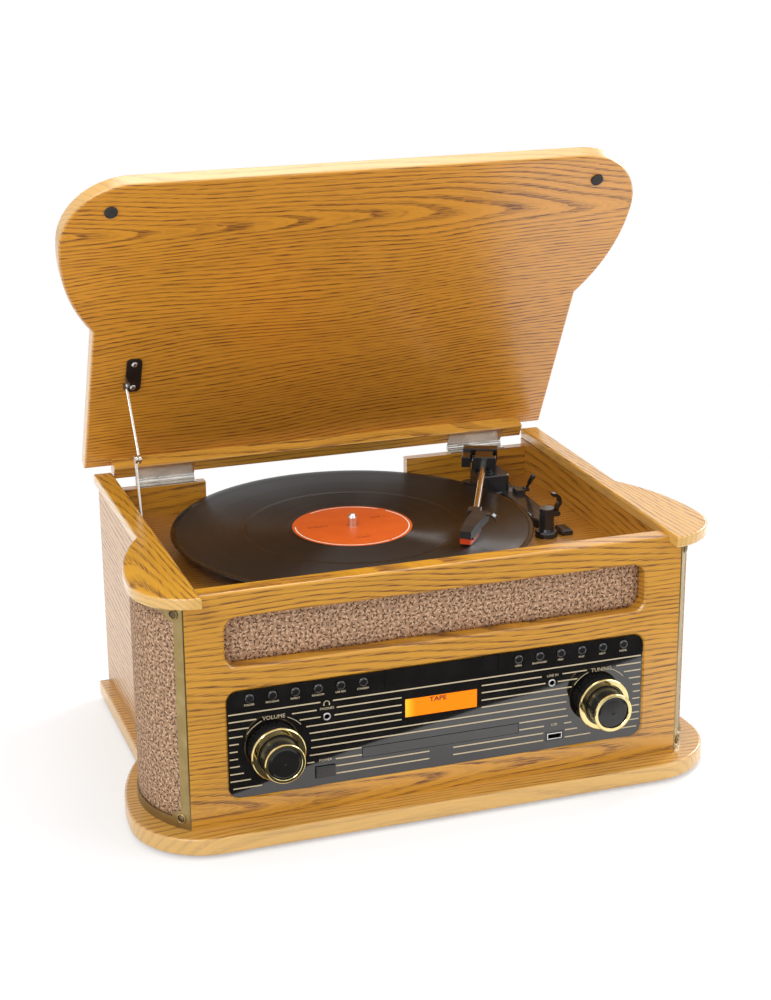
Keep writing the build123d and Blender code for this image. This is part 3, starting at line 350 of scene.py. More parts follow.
def plain(name, colour, rough=0.4, metal=0.0, size=900.0, bump=0.1, spread=0.12, along=(1, 1, 1), coat=0.0,
          fade=None):
    """A plastic, rubber or metal with fine relief; along stretches the relief into brushing."""
    material, tree, shader, place = new_material(name)
    skin = add_node(tree, "ShaderNodeGroup", node_tree=relief)
    fill(tree, skin, {"Place": stretched(tree, place, *along), "Size": size, "Spread": spread,
                      "Base": rough})
    dust = noise_at(tree, place, 60.0, 3.0)
    other = fade or tuple(min(1.0, c * 1.25 + 0.003) for c in colour)
    tint = blended(tree, stepped(tree, dust, 0.4, 0.75), (*colour, 1), (*other, 1))
    fill(tree, shader, {"Base Color": tint, "Roughness": skin.outputs["Roughness"], "Metallic": metal,
                        "Coat Weight": coat, "Coat Roughness": 0.05})
    if bump:
        fill(tree, shader, {"Normal": bumped(tree, skin.outputs["Height"], bump)})
    return material


print("fine relief has", len(relief.nodes), "nodes")

# %% [markdown]
# ## The plain finishes
# Each finish gives its colour, its roughness and, for a metal, a 1. Print has no relief, and glossy plastic
# has a clear coat.

# %% Plain finishes
black_plastic = plain("black_plastic", (0.010, 0.009, 0.009), 0.20, bump=0.03, coat=0.4)
satin_black = plain("satin_black", (0.022, 0.020, 0.019), 0.34, size=1400, bump=0.05)
slate = plain("slate", (0.016, 0.016, 0.018), 0.26, bump=0.03, coat=0.3)
gloss_black = plain("gloss_black", (0.0045, 0.0040, 0.0038), 0.04, bump=0.0, spread=0.02, coat=1.0)
button_black = plain("button_black", (0.010, 0.010, 0.010), 0.12, bump=0.0, coat=0.5)
rubber = plain("rubber", (0.022, 0.021, 0.020), 0.75, size=600, bump=0.3)
nickel = plain("nickel", (0.62, 0.59, 0.55), 0.22, 1.0, size=500, along=(1, 8, 1))
chrome = plain("chrome", (0.80, 0.79, 0.78), 0.06, 1.0, bump=0.0, spread=0.03)
silver = plain("silver", (0.66, 0.65, 0.64), 0.30, 1.0, size=700)
steel = plain("steel", (0.42, 0.42, 0.43), 0.38, 1.0, size=300, along=(1, 1, 10))
brass_frame = plain("brass_frame", (0.30, 0.22, 0.092), 0.36, 1.0, size=420, along=(6, 6, 0.6), bump=0.06,
                    fade=(0.38, 0.29, 0.135))
bronze = plain("bronze", (0.16, 0.11, 0.055), 0.30, 1.0, bump=0.05)
brass = plain("brass", (0.75, 0.58, 0.28), 0.2, 1.0)
grey_plate = plain("grey_plate", (0.10, 0.085, 0.075), 0.36, 1.0)
hardboard = plain("hardboard", (0.20, 0.12, 0.065), 0.7, size=300, bump=0.3)
board_green = plain("board_green", (0.02, 0.13, 0.06), 0.45)
paper_cone = plain("paper_cone", (0.03, 0.028, 0.026), 0.8, size=500, bump=0.3)
red_plastic = plain("red_plastic", (0.72, 0.055, 0.008), 0.22, bump=0.03, fade=(0.85, 0.10, 0.012))
cream_print = plain("cream_print", (0.52, 0.43, 0.28), 0.45, bump=0.0, fade=(0.56, 0.47, 0.31))
white_print = plain("white_print", (0.80, 0.76, 0.68), 0.5, bump=0.0)
amber_print = plain("amber_print", (0.16, 0.018, 0.001), 0.5, bump=0.0, fade=(0.18, 0.022, 0.001))
label_paper = plain("label_paper", (0.68, 0.105, 0.004), 0.5, size=700, bump=0.08, fade=(0.74, 0.125, 0.006))
print("materials so far:", len(bpy.data.materials))

# %% [markdown]
# ## Vinyl
# A record's grooves run in circles, so light spreads across them and makes bright fans that point at the
# spindle. The shader's anisotropy does that: its tangent runs round the spindle, and a quarter turn makes
# the spread run across the grooves. The bands between the songs are smoother rings, so the roughness
# changes with the distance from the spindle, and the record's rim is smooth too.

# %% Vinyl
smooth_rim = (146.0 * mm, 146.6 * mm)
spindle_x, spindle_y = [(a + b) / 2 for a, b in zip(*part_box("vinyl_record"))][:2]
record_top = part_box("vinyl_record")[1][2]
vinyl, tree, shader, place = new_material("vinyl")
centred = add_node(tree, "ShaderNodeMapping", {"Vector": place, "Location": (-spindle_x, -spindle_y, 0)})
part = parts_of(tree, centred.outputs[0])
away = far_from_axis(tree, part[0], part[1])
flat = add_node(tree, "ShaderNodeCombineXYZ", {0: away}).outputs[0]
fine = noise_at(tree, flat, 2600.0, 1.0)
bands = noise_at(tree, flat, 160.0, 2.0)
gap = stepped(tree, noise_at(tree, flat, 95.0, 0.0), 0.66, 0.70)
rough = plus(tree, 0.30, times(tree, bands, 0.14))
rough = minus(tree, rough, times(tree, gap, 0.09))
rim = times(tree, stepped(tree, away, *smooth_rim), 0.5)
rough = times(tree, rough, minus(tree, 1.0, rim))
tint = blended(tree, bands, (0.004, 0.003, 0.002, 1), (0.009, 0.006, 0.004, 1))
around = add_node(tree, "ShaderNodeTangent", direction_type="RADIAL", axis="Z").outputs[0]
fill(tree, shader, {"Base Color": tint, "Roughness": rough, "Normal": bumped(tree, fine, 0.06),
                    "Anisotropic": 0.95, "Anisotropic Rotation": 0.25, "Tangent": around,
                    "Specular IOR Level": 0.5})
print("vinyl turns about", round(spindle_x / mm, 1), round(spindle_y / mm, 1), "mm")

# %% [markdown]
# ## Grille cloth
# The cloth has a taupe ground with a fine weave and short curled flecks, some of cream thread and some
# of dark thread. The flecks follow the cloth round the pods, so they are drawn on the cloth's own
# UV map, which is in metres. The dark threads are the same strokes, read from another part of the net.

# %% Grille cloth
flecks_in_metre, fleck_curl = 275.0, 420.0
cloth, tree, shader, place = new_material("grille_cloth")
woven = tree.nodes.new("ShaderNodeTexCoord").outputs["UV"]


def flecks(shift, half_width, half_length):
    """A mask with one short curled stroke in each cell of a random net. A point's place from its cell's
    middle is turned by the cell's random angle, and bent by the square of how far along the stroke it is.
    The mask is 1 where it lies within the stroke."""
    moved = add_node(tree, "ShaderNodeVectorMath", {0: woven, 1: shift}, operation="ADD").outputs[0]
    net = add_node(tree, "ShaderNodeTexVoronoi",
                   {"Vector": moved, "Scale": flecks_in_metre, "Randomness": 0.8},
                   voronoi_dimensions="2D").outputs
    off = add_node(tree, "ShaderNodeVectorMath", {0: moved, 1: net["Position"]},
                   operation="SUBTRACT").outputs[0]
    chance = parts_of(tree, net["Color"])
    angle = times(tree, chance[0], 2 * pi)
    turned = add_node(tree, "ShaderNodeVectorRotate", {"Vector": off, "Angle": angle},
                      rotation_type="Z_AXIS").outputs[0]
    part = parts_of(tree, turned)
    curl = times(tree, maths(tree, "POWER", part[0], 2.0), fleck_curl)
    bent = plus(tree, minus(tree, part[1], curl), 0.3 * mm)
    thin = minus(tree, 1.0, stepped(tree, maths(tree, "ABSOLUTE", bent), half_width * 0.6, half_width * 1.4))
    short = minus(tree, 1.0, stepped(tree, maths(tree, "ABSOLUTE", part[0]), half_length * 0.8,
                                     half_length * 1.1))
    return times(tree, thin, short)


pale_fleck = flecks((0.0, 0.0, 0.0), 0.44 * mm, 1.40 * mm)
dark_fleck = flecks((12.7 * mm, 9.3 * mm, 0.0), 0.54 * mm, 1.35 * mm)
weave = noise_at(tree, woven, 1700.0, 1.0)
ground = blended(tree, weave, (0.24, 0.135, 0.080, 1), (0.50, 0.315, 0.195, 1))
tint = blended(tree, times(tree, pale_fleck, 0.85), ground, (0.72, 0.50, 0.33, 1))
tint = blended(tree, times(tree, dark_fleck, 0.82), tint, (0.022, 0.008, 0.003, 1))
height = plus(tree, weave, minus(tree, pale_fleck, dark_fleck))
fill(tree, shader, {"Base Color": tint, "Roughness": 0.88, "Specular IOR Level": 0.25,
                    "Normal": bumped(tree, height, 0.3, 0.3 * mm)})
print("a grille cloth with a fleck of each kind every", round(1 / flecks_in_metre / mm, 1), "mm")

# %% [markdown]
# ## The lit display
# The display is amber plastic lit from behind. It glows a little, and is paler where its lamp sits at the
# left end.

# %% Amber display
amber, tree, shader, place = new_material("amber_display")
low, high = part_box("display_window")
part = parts_of(tree, place)
share = maths(tree, "DIVIDE", minus(tree, part[0], low[0]), high[0] - low[0])
glow = blended(tree, stepped(tree, share, 0.0, 0.16), (0.95, 0.44, 0.02, 1), (0.86, 0.205, 0.0005, 1))
fill(tree, shader, {"Base Color": glow, "Emission Color": glow, "Emission Strength": 0.36,
                    "Roughness": 0.35, "Specular IOR Level": 0.12})
print("the display is", round((high[0] - low[0]) / mm, 1), "mm wide")


# %% [markdown]
# ## Knobs
# A knob is one turned piece of black plastic with two gold rings, so the one mesh gets both finishes. A ring
# is where the distances from the knob's axis and from the panel are both over the ring's limits.

# %% Knob finish
step_ring = (16.68 * mm, 8.05 * mm)
nose_ring = (13.02 * mm, 24.82 * mm)


def knob_finish(name, node):
    """Black plastic with gold where the step ring and the nose ring are."""
    low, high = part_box(node)
    start = (-(low[0] + high[0]) / 2, -front_y, -(low[2] + high[2]) / 2)
    material, tree, shader, place = new_material(name)
    moved = add_node(tree, "ShaderNodeMapping", {"Vector": place, "Location": start})
    part = parts_of(tree, moved.outputs[0])
    away = far_from_axis(tree, part[0], part[2])
    rings = [times(tree, maths(tree, "GREATER_THAN", away, radius),
                   maths(tree, "LESS_THAN", part[1], -out)) for radius, out in (step_ring, nose_ring)]
    metal = maths(tree, "MAXIMUM", *rings)
    dust = noise_at(tree, place, 90.0, 2.0)
    black = blended(tree, dust, (0.008, 0.008, 0.008, 1), (0.014, 0.013, 0.012, 1))
    shine = blended(tree, dust, (0.74, 0.60, 0.27, 1), (0.84, 0.70, 0.34, 1))
    rough = plus(tree, 0.16, times(tree, dust, 0.05))
    rough = minus(tree, rough, times(tree, metal, 0.08))
    fill(tree, shader, {"Base Color": blended(tree, metal, black, shine), "Metallic": metal,
                        "Roughness": rough})
    return material


knob_finishes = {node: knob_finish(node.replace("knob", "finish"), node)
                 for node in ("volume_knob", "tuning_knob")}
print("knob finishes:", [finish.name for finish in knob_finishes.values()])

# %% [markdown]
# ## Finishes on the model's own pieces
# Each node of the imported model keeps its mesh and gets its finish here.

# %% Finishes on the nodes
finishes = {
    oak_front: ["front_panel"], oak_lid: ["lid_board"], oak_batten: ["lid_batten"], oak_side: ["side_walls"],
    oak_cap: ["side_caps"], oak_plinth: ["plinth_board"], oak_back_painted_shade: ["back_panel"], oak_deck_painted_shade: ["deck_board"],
    rubber: ["rubber_feet", "lid_bumpers", "platter_mat", "drive_belt"],
    brass_frame: ["pod_frames"], hardboard: ["pod_shells"], paper_cone: ["speakers"],
    satin_black: ["headshell", "rear_terminal_panel", "cd_mechanism"],
    black_plastic: ["counterweight", "tonearm_turret", "arm_rest_clip", "cue_lever", "speed_lever",
                    "power_button", "front_sockets"],
    slate: ["tonearm_base"], gloss_black: ["facia", "cd_tray"], chrome: ["tonearm_tube"],
    nickel: ["hinge_fixed_leaves", "hinge_lid_leaves", "stay_upper_arm", "stay_lower_arm",
             "stay_wall_bracket"],
    grey_plate: ["stay_lid_bracket"], silver: ["platter"], vinyl: ["vinyl_record"],
    red_plastic: ["stylus"], amber: ["display_window"], board_green: ["circuit_boards"],
    steel: ["transformer", "drive_motor"], brass: ["spindle_bearing", "motor_pulley"],
    button_black: ["button_%s_%d" % (side, i) for side in ("left", "right") for i in range(1, 7)],
    **{finish: [node] for node, finish in knob_finishes.items()},
}
for material, names in finishes.items():
    for name in names:
        slots = frame["nodes"][name].data.materials
        slots.clear()
        slots.append(material)
left_out = set(frame["nodes"]) - {name for names in finishes.values() for name in names}
print("nodes that get a piece of their own:", sorted(left_out))


# %% [markdown]
# ## Surfaces from numbers
# A new piece is a grid of points worked out by a formula. Its rows and columns become four-sided faces, and
# a grid that closes on itself is wrapped round.


# %% Grids and pieces
def grid_faces(rows, columns, wrap_rows=False, wrap_columns=False):
    """Point numbers of the faces between neighbouring rows and columns."""
    row = np.arange(rows if wrap_rows else rows - 1)[:, None]
    column = np.arange(columns if wrap_columns else columns - 1)[None, :]
    next_row = (row + 1) % rows * columns
    next_column = (column + 1) % columns
    corners = [row * columns + column, row * columns + next_column, next_row + next_column,
               next_row + column]
    return np.stack(corners, axis=-1).reshape(-1, 4)


def make_piece(name, points, faces, material, body, slot, smooth=True):
    """A mesh from an array of points and one of faces, riding on a body."""
    mesh = bpy.data.meshes.new(name)
    mesh.from_pydata(np.asarray(points).reshape(-1, 3).tolist(), [],
                     [[int(i) for i in face] for face in faces])
    mesh.polygons.foreach_set("use_smooth", [smooth] * len(mesh.polygons))
    mesh.materials.append(material)
    mesh.update()
    piece = bpy.data.objects.new(name, mesh)
    bpy.context.scene.collection.objects.link(piece)
    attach(piece, body)
    print("made", name, "with", len(mesh.polygons), "faces")
    return piece


def joined(groups):
    """Several (points, faces) arrays as one; face numbers move up by the points before them."""
    points, faces, start = [], [], 0
    for group_points, group_faces in groups:
        group_points = np.asarray(group_points).reshape(-1, 3)
        points.append(group_points)
        faces += [[int(i) + start for i in face] for face in group_faces]
        start += len(group_points)
    return np.concatenate(points), faces


print("a grid of 3 by 4 points has", len(grid_faces(3, 4)), "faces")

# %% [markdown]
# ## Turned shapes and arcs
# Screws, nuts and the label are turned: one profile is carried round an axis. The lines over the knobs and
# round the label are flat arcs.


# %% Turned shapes and arcs
def turned_shape(profile, place, axis, steps=40):
    """A closed profile of (radius, height) carried round an axis: point = place + height along the axis
    + radius times (cos, sin) of the angle across it."""
    profile = np.asarray(profile, float)
    axis = Vector(axis).normalized()
    side = axis.orthogonal().normalized()
    other = axis.cross(side)
    angle = np.arange(steps) * 2 * pi / steps
    ring = np.cos(angle)[:, None] * np.array(side) + np.sin(angle)[:, None] * np.array(other)
    points = (np.array(place) + profile[None, :, 1:2] * np.array(axis)
              + profile[None, :, 0:1] * ring[:, None, :])
    return points, grid_faces(steps, len(profile), wrap_rows=True, wrap_columns=True)


def flat_arc(inner, outer, start, end, thick, steps):
    """A flat arc about zero: (radius cos, radius sin, height) for its two radii and its two heights, from
    one angle to another."""
    angle = np.radians(np.linspace(start, end, steps))[:, None]
    reach = np.array([inner, outer, outer, inner])[None, :]
    height = np.array([thick, thick, 0, 0])[None, :] + 0 * angle
    points = np.stack([reach * np.cos(angle), reach * np.sin(angle), height], axis=-1)
    return points, grid_faces(steps, 4, wrap_columns=True)


print("an arc with 24 places has", len(flat_arc(1, 2, 0, 90, 1, 24)[1]), "faces")

# %% [markdown]
# ## The stretched cloths
# A cloth is a thin closed sheet, and stands where the solid cloth was. Its UV map is its cut shape in
# metres, so the flecks keep their size round a curve. The front cloth is nearly flat behind its window, with
# a slight wave: the product of a sine across and a sine upwards.


# %% A sheet of cloth
def sheet_piece(name, top, bottom):
    """Two grids of points, a thickness apart, closed round their rims. The UV map holds the distance
    along a row and the height."""
    rows, columns = top.shape[:2]
    faces = grid_faces(rows, columns)
    under = faces[:, ::-1] + rows * columns
    index = np.arange(rows * columns).reshape(rows, columns)
    rim = np.concatenate([index[0, :-1], index[:-1, -1], index[-1, :0:-1], index[:0:-1, 0]])
    after = np.roll(rim, -1)
    wall = np.stack([after, rim, rim + rows * columns, after + rows * columns], axis=-1)
    points = np.concatenate([top.reshape(-1, 3), bottom.reshape(-1, 3)])
    piece = make_piece(name, points, np.concatenate([faces, under, wall]), cloth, "cabinet",
                       "grille_cloth")
    step = np.linalg.norm(np.diff(top, axis=1), axis=-1)[rows // 2]
    run = np.concatenate([[0.0], np.cumsum(step)])[None, :] + np.zeros((rows, 1))
    flat = np.stack([run, top[..., 2]], axis=-1).reshape(-1, 2)
    flat = np.concatenate([flat, flat])
    corners = np.empty(len(piece.data.loops), int)
    piece.data.loops.foreach_get("vertex_index", corners)
    piece.data.uv_layers.new(name="woven").data.foreach_set("uv", flat[corners].ravel())
    return piece


low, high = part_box("front_cloth")
across = np.linspace(low[0], high[0], 60)[None, :, None]
upward = np.linspace(low[2], high[2], 12)[:, None, None]
zero = across * 0 + upward * 0
behind_window, wave_height, thickness = 0.1 * mm, 0.25 * mm, 0.5 * mm
wave = wave_height * np.sin(across * 95) * np.sin(upward * 160)
top = np.concatenate([across + zero, zero + low[1] + behind_window + wave, upward + zero], axis=-1)
front_cloth = sheet_piece("front_grille_cloth", top, top + np.array([0, thickness, 0]))
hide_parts("front_cloth")

# %% [markdown]
# ## The pods' cloths
# A pod's outline is an arc over a chord, so its radius follows from the chord and the rise. The cloth lies
# just inside it.

# %% The pods' cloths
chord, rise, wall_x = 118 * mm, 26 * mm, 202.5 * mm
under_frame, end_gap, thickness = 1.35 * mm, 1.5 * mm, 0.6 * mm
low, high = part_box("pod_cloths")
pod_radius = (chord ** 2 / 4 + rise ** 2) / (2 * rise)
cloth_radius = pod_radius - under_frame
middle_x = wall_x + rise - pod_radius
middle_y = front_y + chord / 2
half_turn = np.arcsin((chord / 2 - end_gap) / cloth_radius)
turns = np.linspace(-half_turn, half_turn, 40)[None, :, None]
upward = np.linspace(low[2] + 0.2 * mm, high[2] - 0.2 * mm, 12)[:, None, None]
zero = turns * 0 + upward * 0
for side, word in ((-1, "left"), (1, "right")):
    sheets = []
    for radius in (cloth_radius, cloth_radius - thickness):
        x = side * (middle_x + radius * np.cos(turns)) + zero
        y = middle_y + radius * np.sin(turns) + zero
        grid = np.concatenate([x, y, upward + zero], axis=-1)
        sheets.append(grid if side > 0 else grid[:, ::-1])
    piece = sheet_piece("pod_grille_cloth_" + word, *sheets)
    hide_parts("pod_cloths")

# %% [markdown]
# ## Stripes on the facia
# The facia has eleven cream stripes. They stop short of the knobs, sockets, words, display and drawer, so
# each stripe has its height, its end and its gaps, in millimetres. What is left between the gaps is a row of
# very thin slabs on the facia's sunk face.

# %% Stripes
block_faces = [(0, 1, 3, 2), (4, 6, 7, 5), (0, 4, 5, 1), (2, 3, 7, 6), (0, 2, 6, 4), (1, 5, 7, 3)]
facia_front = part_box("facia")[0][1]
print_y = facia_front + 0.6 * mm
print_depth = 0.05 * mm
stripe_half = 0.52


def slab(x0, x1, z0, z1):
    """Corners and faces of a thin block of print on the facia, from millimetres."""
    return np.array([(x * mm, y, z * mm) for x in (x0, x1) for y in (print_y - print_depth, print_y)
                     for z in (z0, z1)]), block_faces


stripes = [
    (106.5, 170, [(-98, -88)]),
    (100.4, 170, [(-148.5, -120.5), (-101, -85), (-32.7, 33.5), (84.2, 102.1), (123, 148.6)]),
    (94.3, 170, [(-154.5, -114.5), (-98, -87), (-32.7, 33.5), (87.5, 98), (115, 155.4)]),
    (88.0, 170, [(-159.3, -109.5), (-32.7, 33.5), (110.2, 160)]),
    (82.0, 170, [(-162.6, -107), (-32.7, 33.5), (106.8, 163.4)]),
    (75.8, 170, [(-163.6, -105.9), (105.9, 164)]),
    (69.7, 170, [(-163.6, -105.9), (105.9, 163.6)]),
    (63.5, 170, [(-162.4, -107.2), (-65.5, 65.7), (107.6, 162.4)]),
    (57.4, 170, [(-159.3, -109.3), (-103.6, -86.4), (-65.2, 65.8), (87, 104.2), (110.6, 159.4)]),
    (51.4, 170, [(-154.1, -86), (-9.9, 9.9), (86.4, 105.2), (116, 154)]),
    (45.1, 168, [(-145.3, -86), (-9.9, 9.9), (86.6, 105.2), (127.5, 145)]),
]
groups = []
for z, end, gaps in stripes:
    places = [-end, *[x for gap in gaps for x in gap], end]
    for x0, x1 in zip(places[::2], places[1::2]):
        groups.append(slab(x0, x1, z - stripe_half, z + stripe_half))
make_piece("facia_stripes", *joined(groups), cream_print, "cabinet", "gloss_black", smooth=False)

# %% [markdown]
# ## Words
# Blender's own font gives the letters. Each word is made as a text curve and turned into a mesh, and its
# points are then moved to their place, so that the piece's object stays at the origin.


# %% Letters
def letters(text, size, place, right=(1, 0, 0), up=(0, 0, 1), depth=print_depth, wide=1.0, bold=0.0):
    """Points and faces of one centred word standing on a plane."""
    curve = bpy.data.curves.new("word", "FONT")
    curve.body = text
    curve.size = size
    curve.extrude = depth / 2
    curve.offset = bold * size
    curve.resolution_u = 2
    curve.align_x = "CENTER"
    curve.align_y = "CENTER"
    holder = bpy.data.objects.new("word", curve)
    bpy.context.scene.collection.objects.link(holder)
    shown = holder.evaluated_get(bpy.context.evaluated_depsgraph_get())
    mesh = bpy.data.meshes.new_from_object(shown)
    flat = np.empty(3 * len(mesh.vertices))
    mesh.vertices.foreach_get("co", flat)
    flat = flat.reshape(-1, 3) * (wide, 1, 1)
    right, up = np.array(right, float), np.array(up, float)
    out = np.cross(right, up)
    points = np.array(place) + flat[:, 0:1] * right + flat[:, 1:2] * up + flat[:, 2:3] * out
    faces = [list(face.vertices) for face in mesh.polygons]
    bpy.data.objects.remove(holder)
    bpy.data.curves.remove(curve)
    bpy.data.meshes.remove(mesh)
    return points, faces


def on_facia(x, z, y=print_y):
    """A place on the facia's face, from millimetres across and up."""
    return (x * mm, y - print_depth / 2, z * mm)


def band(x, z, radius, start, end, width, steps=24):
    """A flat arc on the facia, with all lengths in millimetres."""
    points, faces = flat_arc((radius - width / 2) * mm, (radius + width / 2) * mm, start, end, print_depth,
                             steps)
    return np.array([x * mm, print_y, z * mm]) + points[..., [0, 2, 1]] * (1, -1, 1), faces


print("a word of four letters has", len(letters("WORD", 1.0, (0, 0, 0))[1]), "faces")

# %% [markdown]
# ## Words on the facia
# The knobs, sockets and the power button are named on the facia's face, with an arc over each knob and a
# small sign of a pair of headphones: an arch with two ear pads. The buttons' names stand on the facia's rim.

# %% Facia words
knob_x, knob_z, arc_radius, arc_width = 134.2, 73.2, 27.0, 0.5
facia_text = [("VOLUME", 4.6, -134.7, 99.9), ("TUNING", 4.6, 135.6, 99.4), ("PHONES", 3.0, -92.8, 100.6),
              ("LINE IN", 3.0, 93.6, 100.2), ("POWER", 3.0, -94.6, 57.8), ("USB", 3.2, 95.6, 57.5)]
words = [letters(word, size * mm, on_facia(x, z)) for word, size, x, z in facia_text]
for side in (-1, 1):
    for start, end in ((40, 68), (112, 144)):
        words.append(band(side * knob_x, knob_z, arc_radius, start, end, arc_width))
words.append(band(-93, 104.6, 2.3, 0, 180, 0.55, steps=16))
pad_half, pad_low, pad_high = 0.45, 103.2, 105.2
for x in (-95.2, -90.8):
    words.append(slab(x - pad_half, x + pad_half, pad_low, pad_high))
make_piece("facia_words", *joined(words), cream_print, "cabinet", "gloss_black", smooth=False)

first_button, button_pitch, button_text_z = 63.9, 17.96, 113.1
button_words = {-1: ["STANDBY", "USB REC", "RANDOM", "REPEAT", "PROGRAM", "FOLDER"],
                1: ["OPEN", "BACKWARD", "PREV", "PLAY", "NEXT", "MODE"]}
marks = []
for side, names in button_words.items():
    for i, text in enumerate(names):
        x = side * (first_button + button_pitch * i)
        marks.append(letters(text, 2.2 * mm, on_facia(x, button_text_z, facia_front), bold=0.012))
make_piece("button_words", *joined(marks), cream_print, "cabinet", "gloss_black", smooth=False)

# %% [markdown]
# ## The display's word
# The display shows one word in dark letters, a little left of its middle.

# %% Display word
display_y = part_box("display_window")[0][1]
shown = letters("TAPE", 5.4 * mm, (-2.6 * mm, display_y - 0.03 * mm, 95.1 * mm), wide=1.15, bold=0.025)
make_piece("display_word", *shown, amber_print, "cabinet", "amber_window", smooth=False)

# %% [markdown]
# ## The record's label
# The label is a thin ring of orange paper with a white ring near its edge and a few plain words. The paper
# is turned: its profile has a softened upper edge and is carried round the spindle.

# %% Record label
label_top = record_top + 0.06 * mm
hole, rim = 3.9 * mm, 50 * mm
centre = (spindle_x, spindle_y, 0)
paper = turned_shape([(hole, record_top), (rim, record_top), (rim, label_top - 0.02 * mm),
                      (rim - 0.1 * mm, label_top), (hole, label_top)], centre, (0, 0, 1), 96)
make_piece("record_label", *paper, label_paper, "turntable", "vinyl", smooth=False)


def on_label(x, y):
    """A place on the label, from millimetres right of the spindle and behind it."""
    return (spindle_x + x * mm, spindle_y + y * mm, label_top + 0.02 * mm)


ink = 0.03 * mm
lying = {"right": (1, 0, 0), "up": (0, 1, 0), "depth": ink}
ring_inner, ring_outer = 46.9 * mm, 47.9 * mm
ring = []
for start, end in ((-65, 35), (45, 120), (165, 292)):
    points, faces = flat_arc(ring_inner, ring_outer, start, end, ink, 60)
    ring.append((points + np.array([spindle_x, spindle_y, label_top]), faces))
make_piece("label_ring", *joined(ring), white_print, "turntable", "vinyl", smooth=False)
label_text = [("STEREO", 5, -28, 6), ("SIDE 1", 5, 27, 14), ("33 RPM", 4, 0, -30)]
text = [letters(word, size * mm, on_label(x, y), **lying) for word, size, x, y in label_text]
make_piece("label_words", *joined(text), amber_print, "turntable", "vinyl", smooth=False)

# %% [markdown]
# ## Screws
# A screw head is a low turned dome with a cross cut into it. A Boolean could cut the cross; instead two thin
# dark bars laid in the dome's top are painted shade that stands for the cut cross's recess.


# %% Screw
def screw(place, out, head=2.6, tall=1.0, twist=0.4):
    """Dome of one screw and dark bars of painted shade for its cut cross, its sizes in millimetres: the
    dome's height falls with the square of the distance from its axis."""
    reach = np.linspace(0.05, 1, 7)
    dome = [(head * mm * r, tall * mm * (1 - 0.75 * r * r)) for r in reach]
    dome += [(head * mm, 0), (reach[0] * head * mm, 0)]
    shape = turned_shape(dome[::-1], place, out, 28)
    axis = Vector(out).normalized()
    side = axis.orthogonal().normalized()
    other = axis.cross(side)
    bars = []
    # Two thin dark bars: painted shade for the recess of the cut cross.
    for angle in (twist, twist + pi / 2):
        length = side * cos(angle) + other * sin(angle)
        width = axis.cross(length)
        base = Vector(place) + axis * tall * 0.80 * mm
        corners = [base + length * head * 0.55 * a * mm + width * 0.26 * b * mm + axis * 0.25 * c * mm
                   for a in (-1, 1) for b in (-1, 1) for c in (0, 1)]
        bars.append((np.array(corners), block_faces))
    return shape, bars


def screws(name, places, body, slot, metal, **sizes):
    """A set of screws on one body: their heads, and their crosses as a dark piece of painted shade."""
    made = [screw(place, out, **sizes) for place, out in places]
    make_piece(name, *joined([shape for shape, bars in made]), metal, body, slot)
    # The crosses' dark piece is painted shade for the recessed cross in each head.
    make_piece(name + "_cross_shade", *joined([bar for shape, bars in made for bar in bars]), black_plastic, body,
               slot, smooth=False)


print("a screw has", len(screw((0, 0, 0), (0, 0, 1))[1]), "bars in its cross")

# %% [markdown]
# ## Screws of the pod frames
# Each pod's frame is held by a screw at its front lower and front upper corner. A turned cup lies under each
# head, and both face straight out of the curved frame.

# %% Frame screws
lug_in, lug_up = 5.5 * mm, 8.2 * mm
frame_low, frame_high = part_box("pod_frames")
lug_turn = np.arcsin((chord / 2 - lug_in) / pod_radius)
places = []
for side in (-1, 1):
    for z in (frame_low[2] + lug_up, frame_high[2] - lug_up):
        out = (side * cos(lug_turn), -sin(lug_turn), 0)
        x = side * (middle_x + pod_radius * cos(lug_turn))
        places.append(((x, middle_y - pod_radius * sin(lug_turn), z), out))
cup = np.array([(2.7, 0), (4.3, 0), (4.2, 0.5), (3.5, 0.9), (2.9, 0.6)]) * mm
cups = [turned_shape(cup, place, out, 36) for place, out in places]
make_piece("screw_cups", *joined(cups), brass_frame, "cabinet", "brass_frame")
screws("frame_screws", places, "cabinet", "brass_frame", bronze, head=2.6, tall=1.1)

# %% [markdown]
# ## Sockets
# The two round sockets have a bright nut round their hole. A nut is turned from a profile whose two front
# edges are softened.

# %% Socket nuts
socket_x, socket_z = 93.0 * mm, 94 * mm
nut = np.array([(2.0, 0), (3.1, 0), (3.1, 0.5), (2.8, 0.8), (2.2, 0.8), (2.0, 0.5)]) * mm
nuts = [turned_shape(nut, (x, print_y, socket_z), (0, -1, 0), 32) for x in (-socket_x, socket_x)]
make_piece("socket_nuts", *joined(nuts), silver, "cabinet", "gloss_black")

# %% [markdown]
# ## USB port
# The USB port has a folded steel sleeve. It is a thin rectangular ring inside the port's mouth: four corners
# at the outer and inner size, at the front and at the back.


# %% USB sleeve
def rectangle_ring(x, z, outer, inner, y0, y1):
    """Corners of a rectangular ring; its profile is carried round the four corners."""
    corner = np.array([(-1, -1), (1, -1), (1, 1), (-1, 1)], float)[:, None, :]
    size = np.array([outer, inner, inner, outer])[None, :, :] / 2
    flat = corner * size + np.array([x, z])
    depth = np.array([y0, y0, y1, y1])[None, :] + np.zeros((4, 1))
    points = np.stack([flat[..., 0], depth, flat[..., 1]], axis=-1)
    return points, grid_faces(4, 4, wrap_rows=True, wrap_columns=True)[:, ::-1]


usb_x, usb_z = 96.0 * mm, 47.8 * mm
port_size, sheet_steel = np.array([12.5, 5.1]) * mm, 0.6 * mm
sleeve = rectangle_ring(usb_x, usb_z, port_size, port_size - 2 * sheet_steel, print_y - 0.5 * mm,
                        print_y + 3 * mm)
make_piece("usb_sleeve", *sleeve, silver, "cabinet", "nickel", smooth=False)

# %% [markdown]
# ## Screws of the stay and the rear plate
# The stay's dark plate lies on the lid's underside, so its screws are placed on the closed lid and then
# turned about the hinge with it. The rear plate has a screw in each corner.

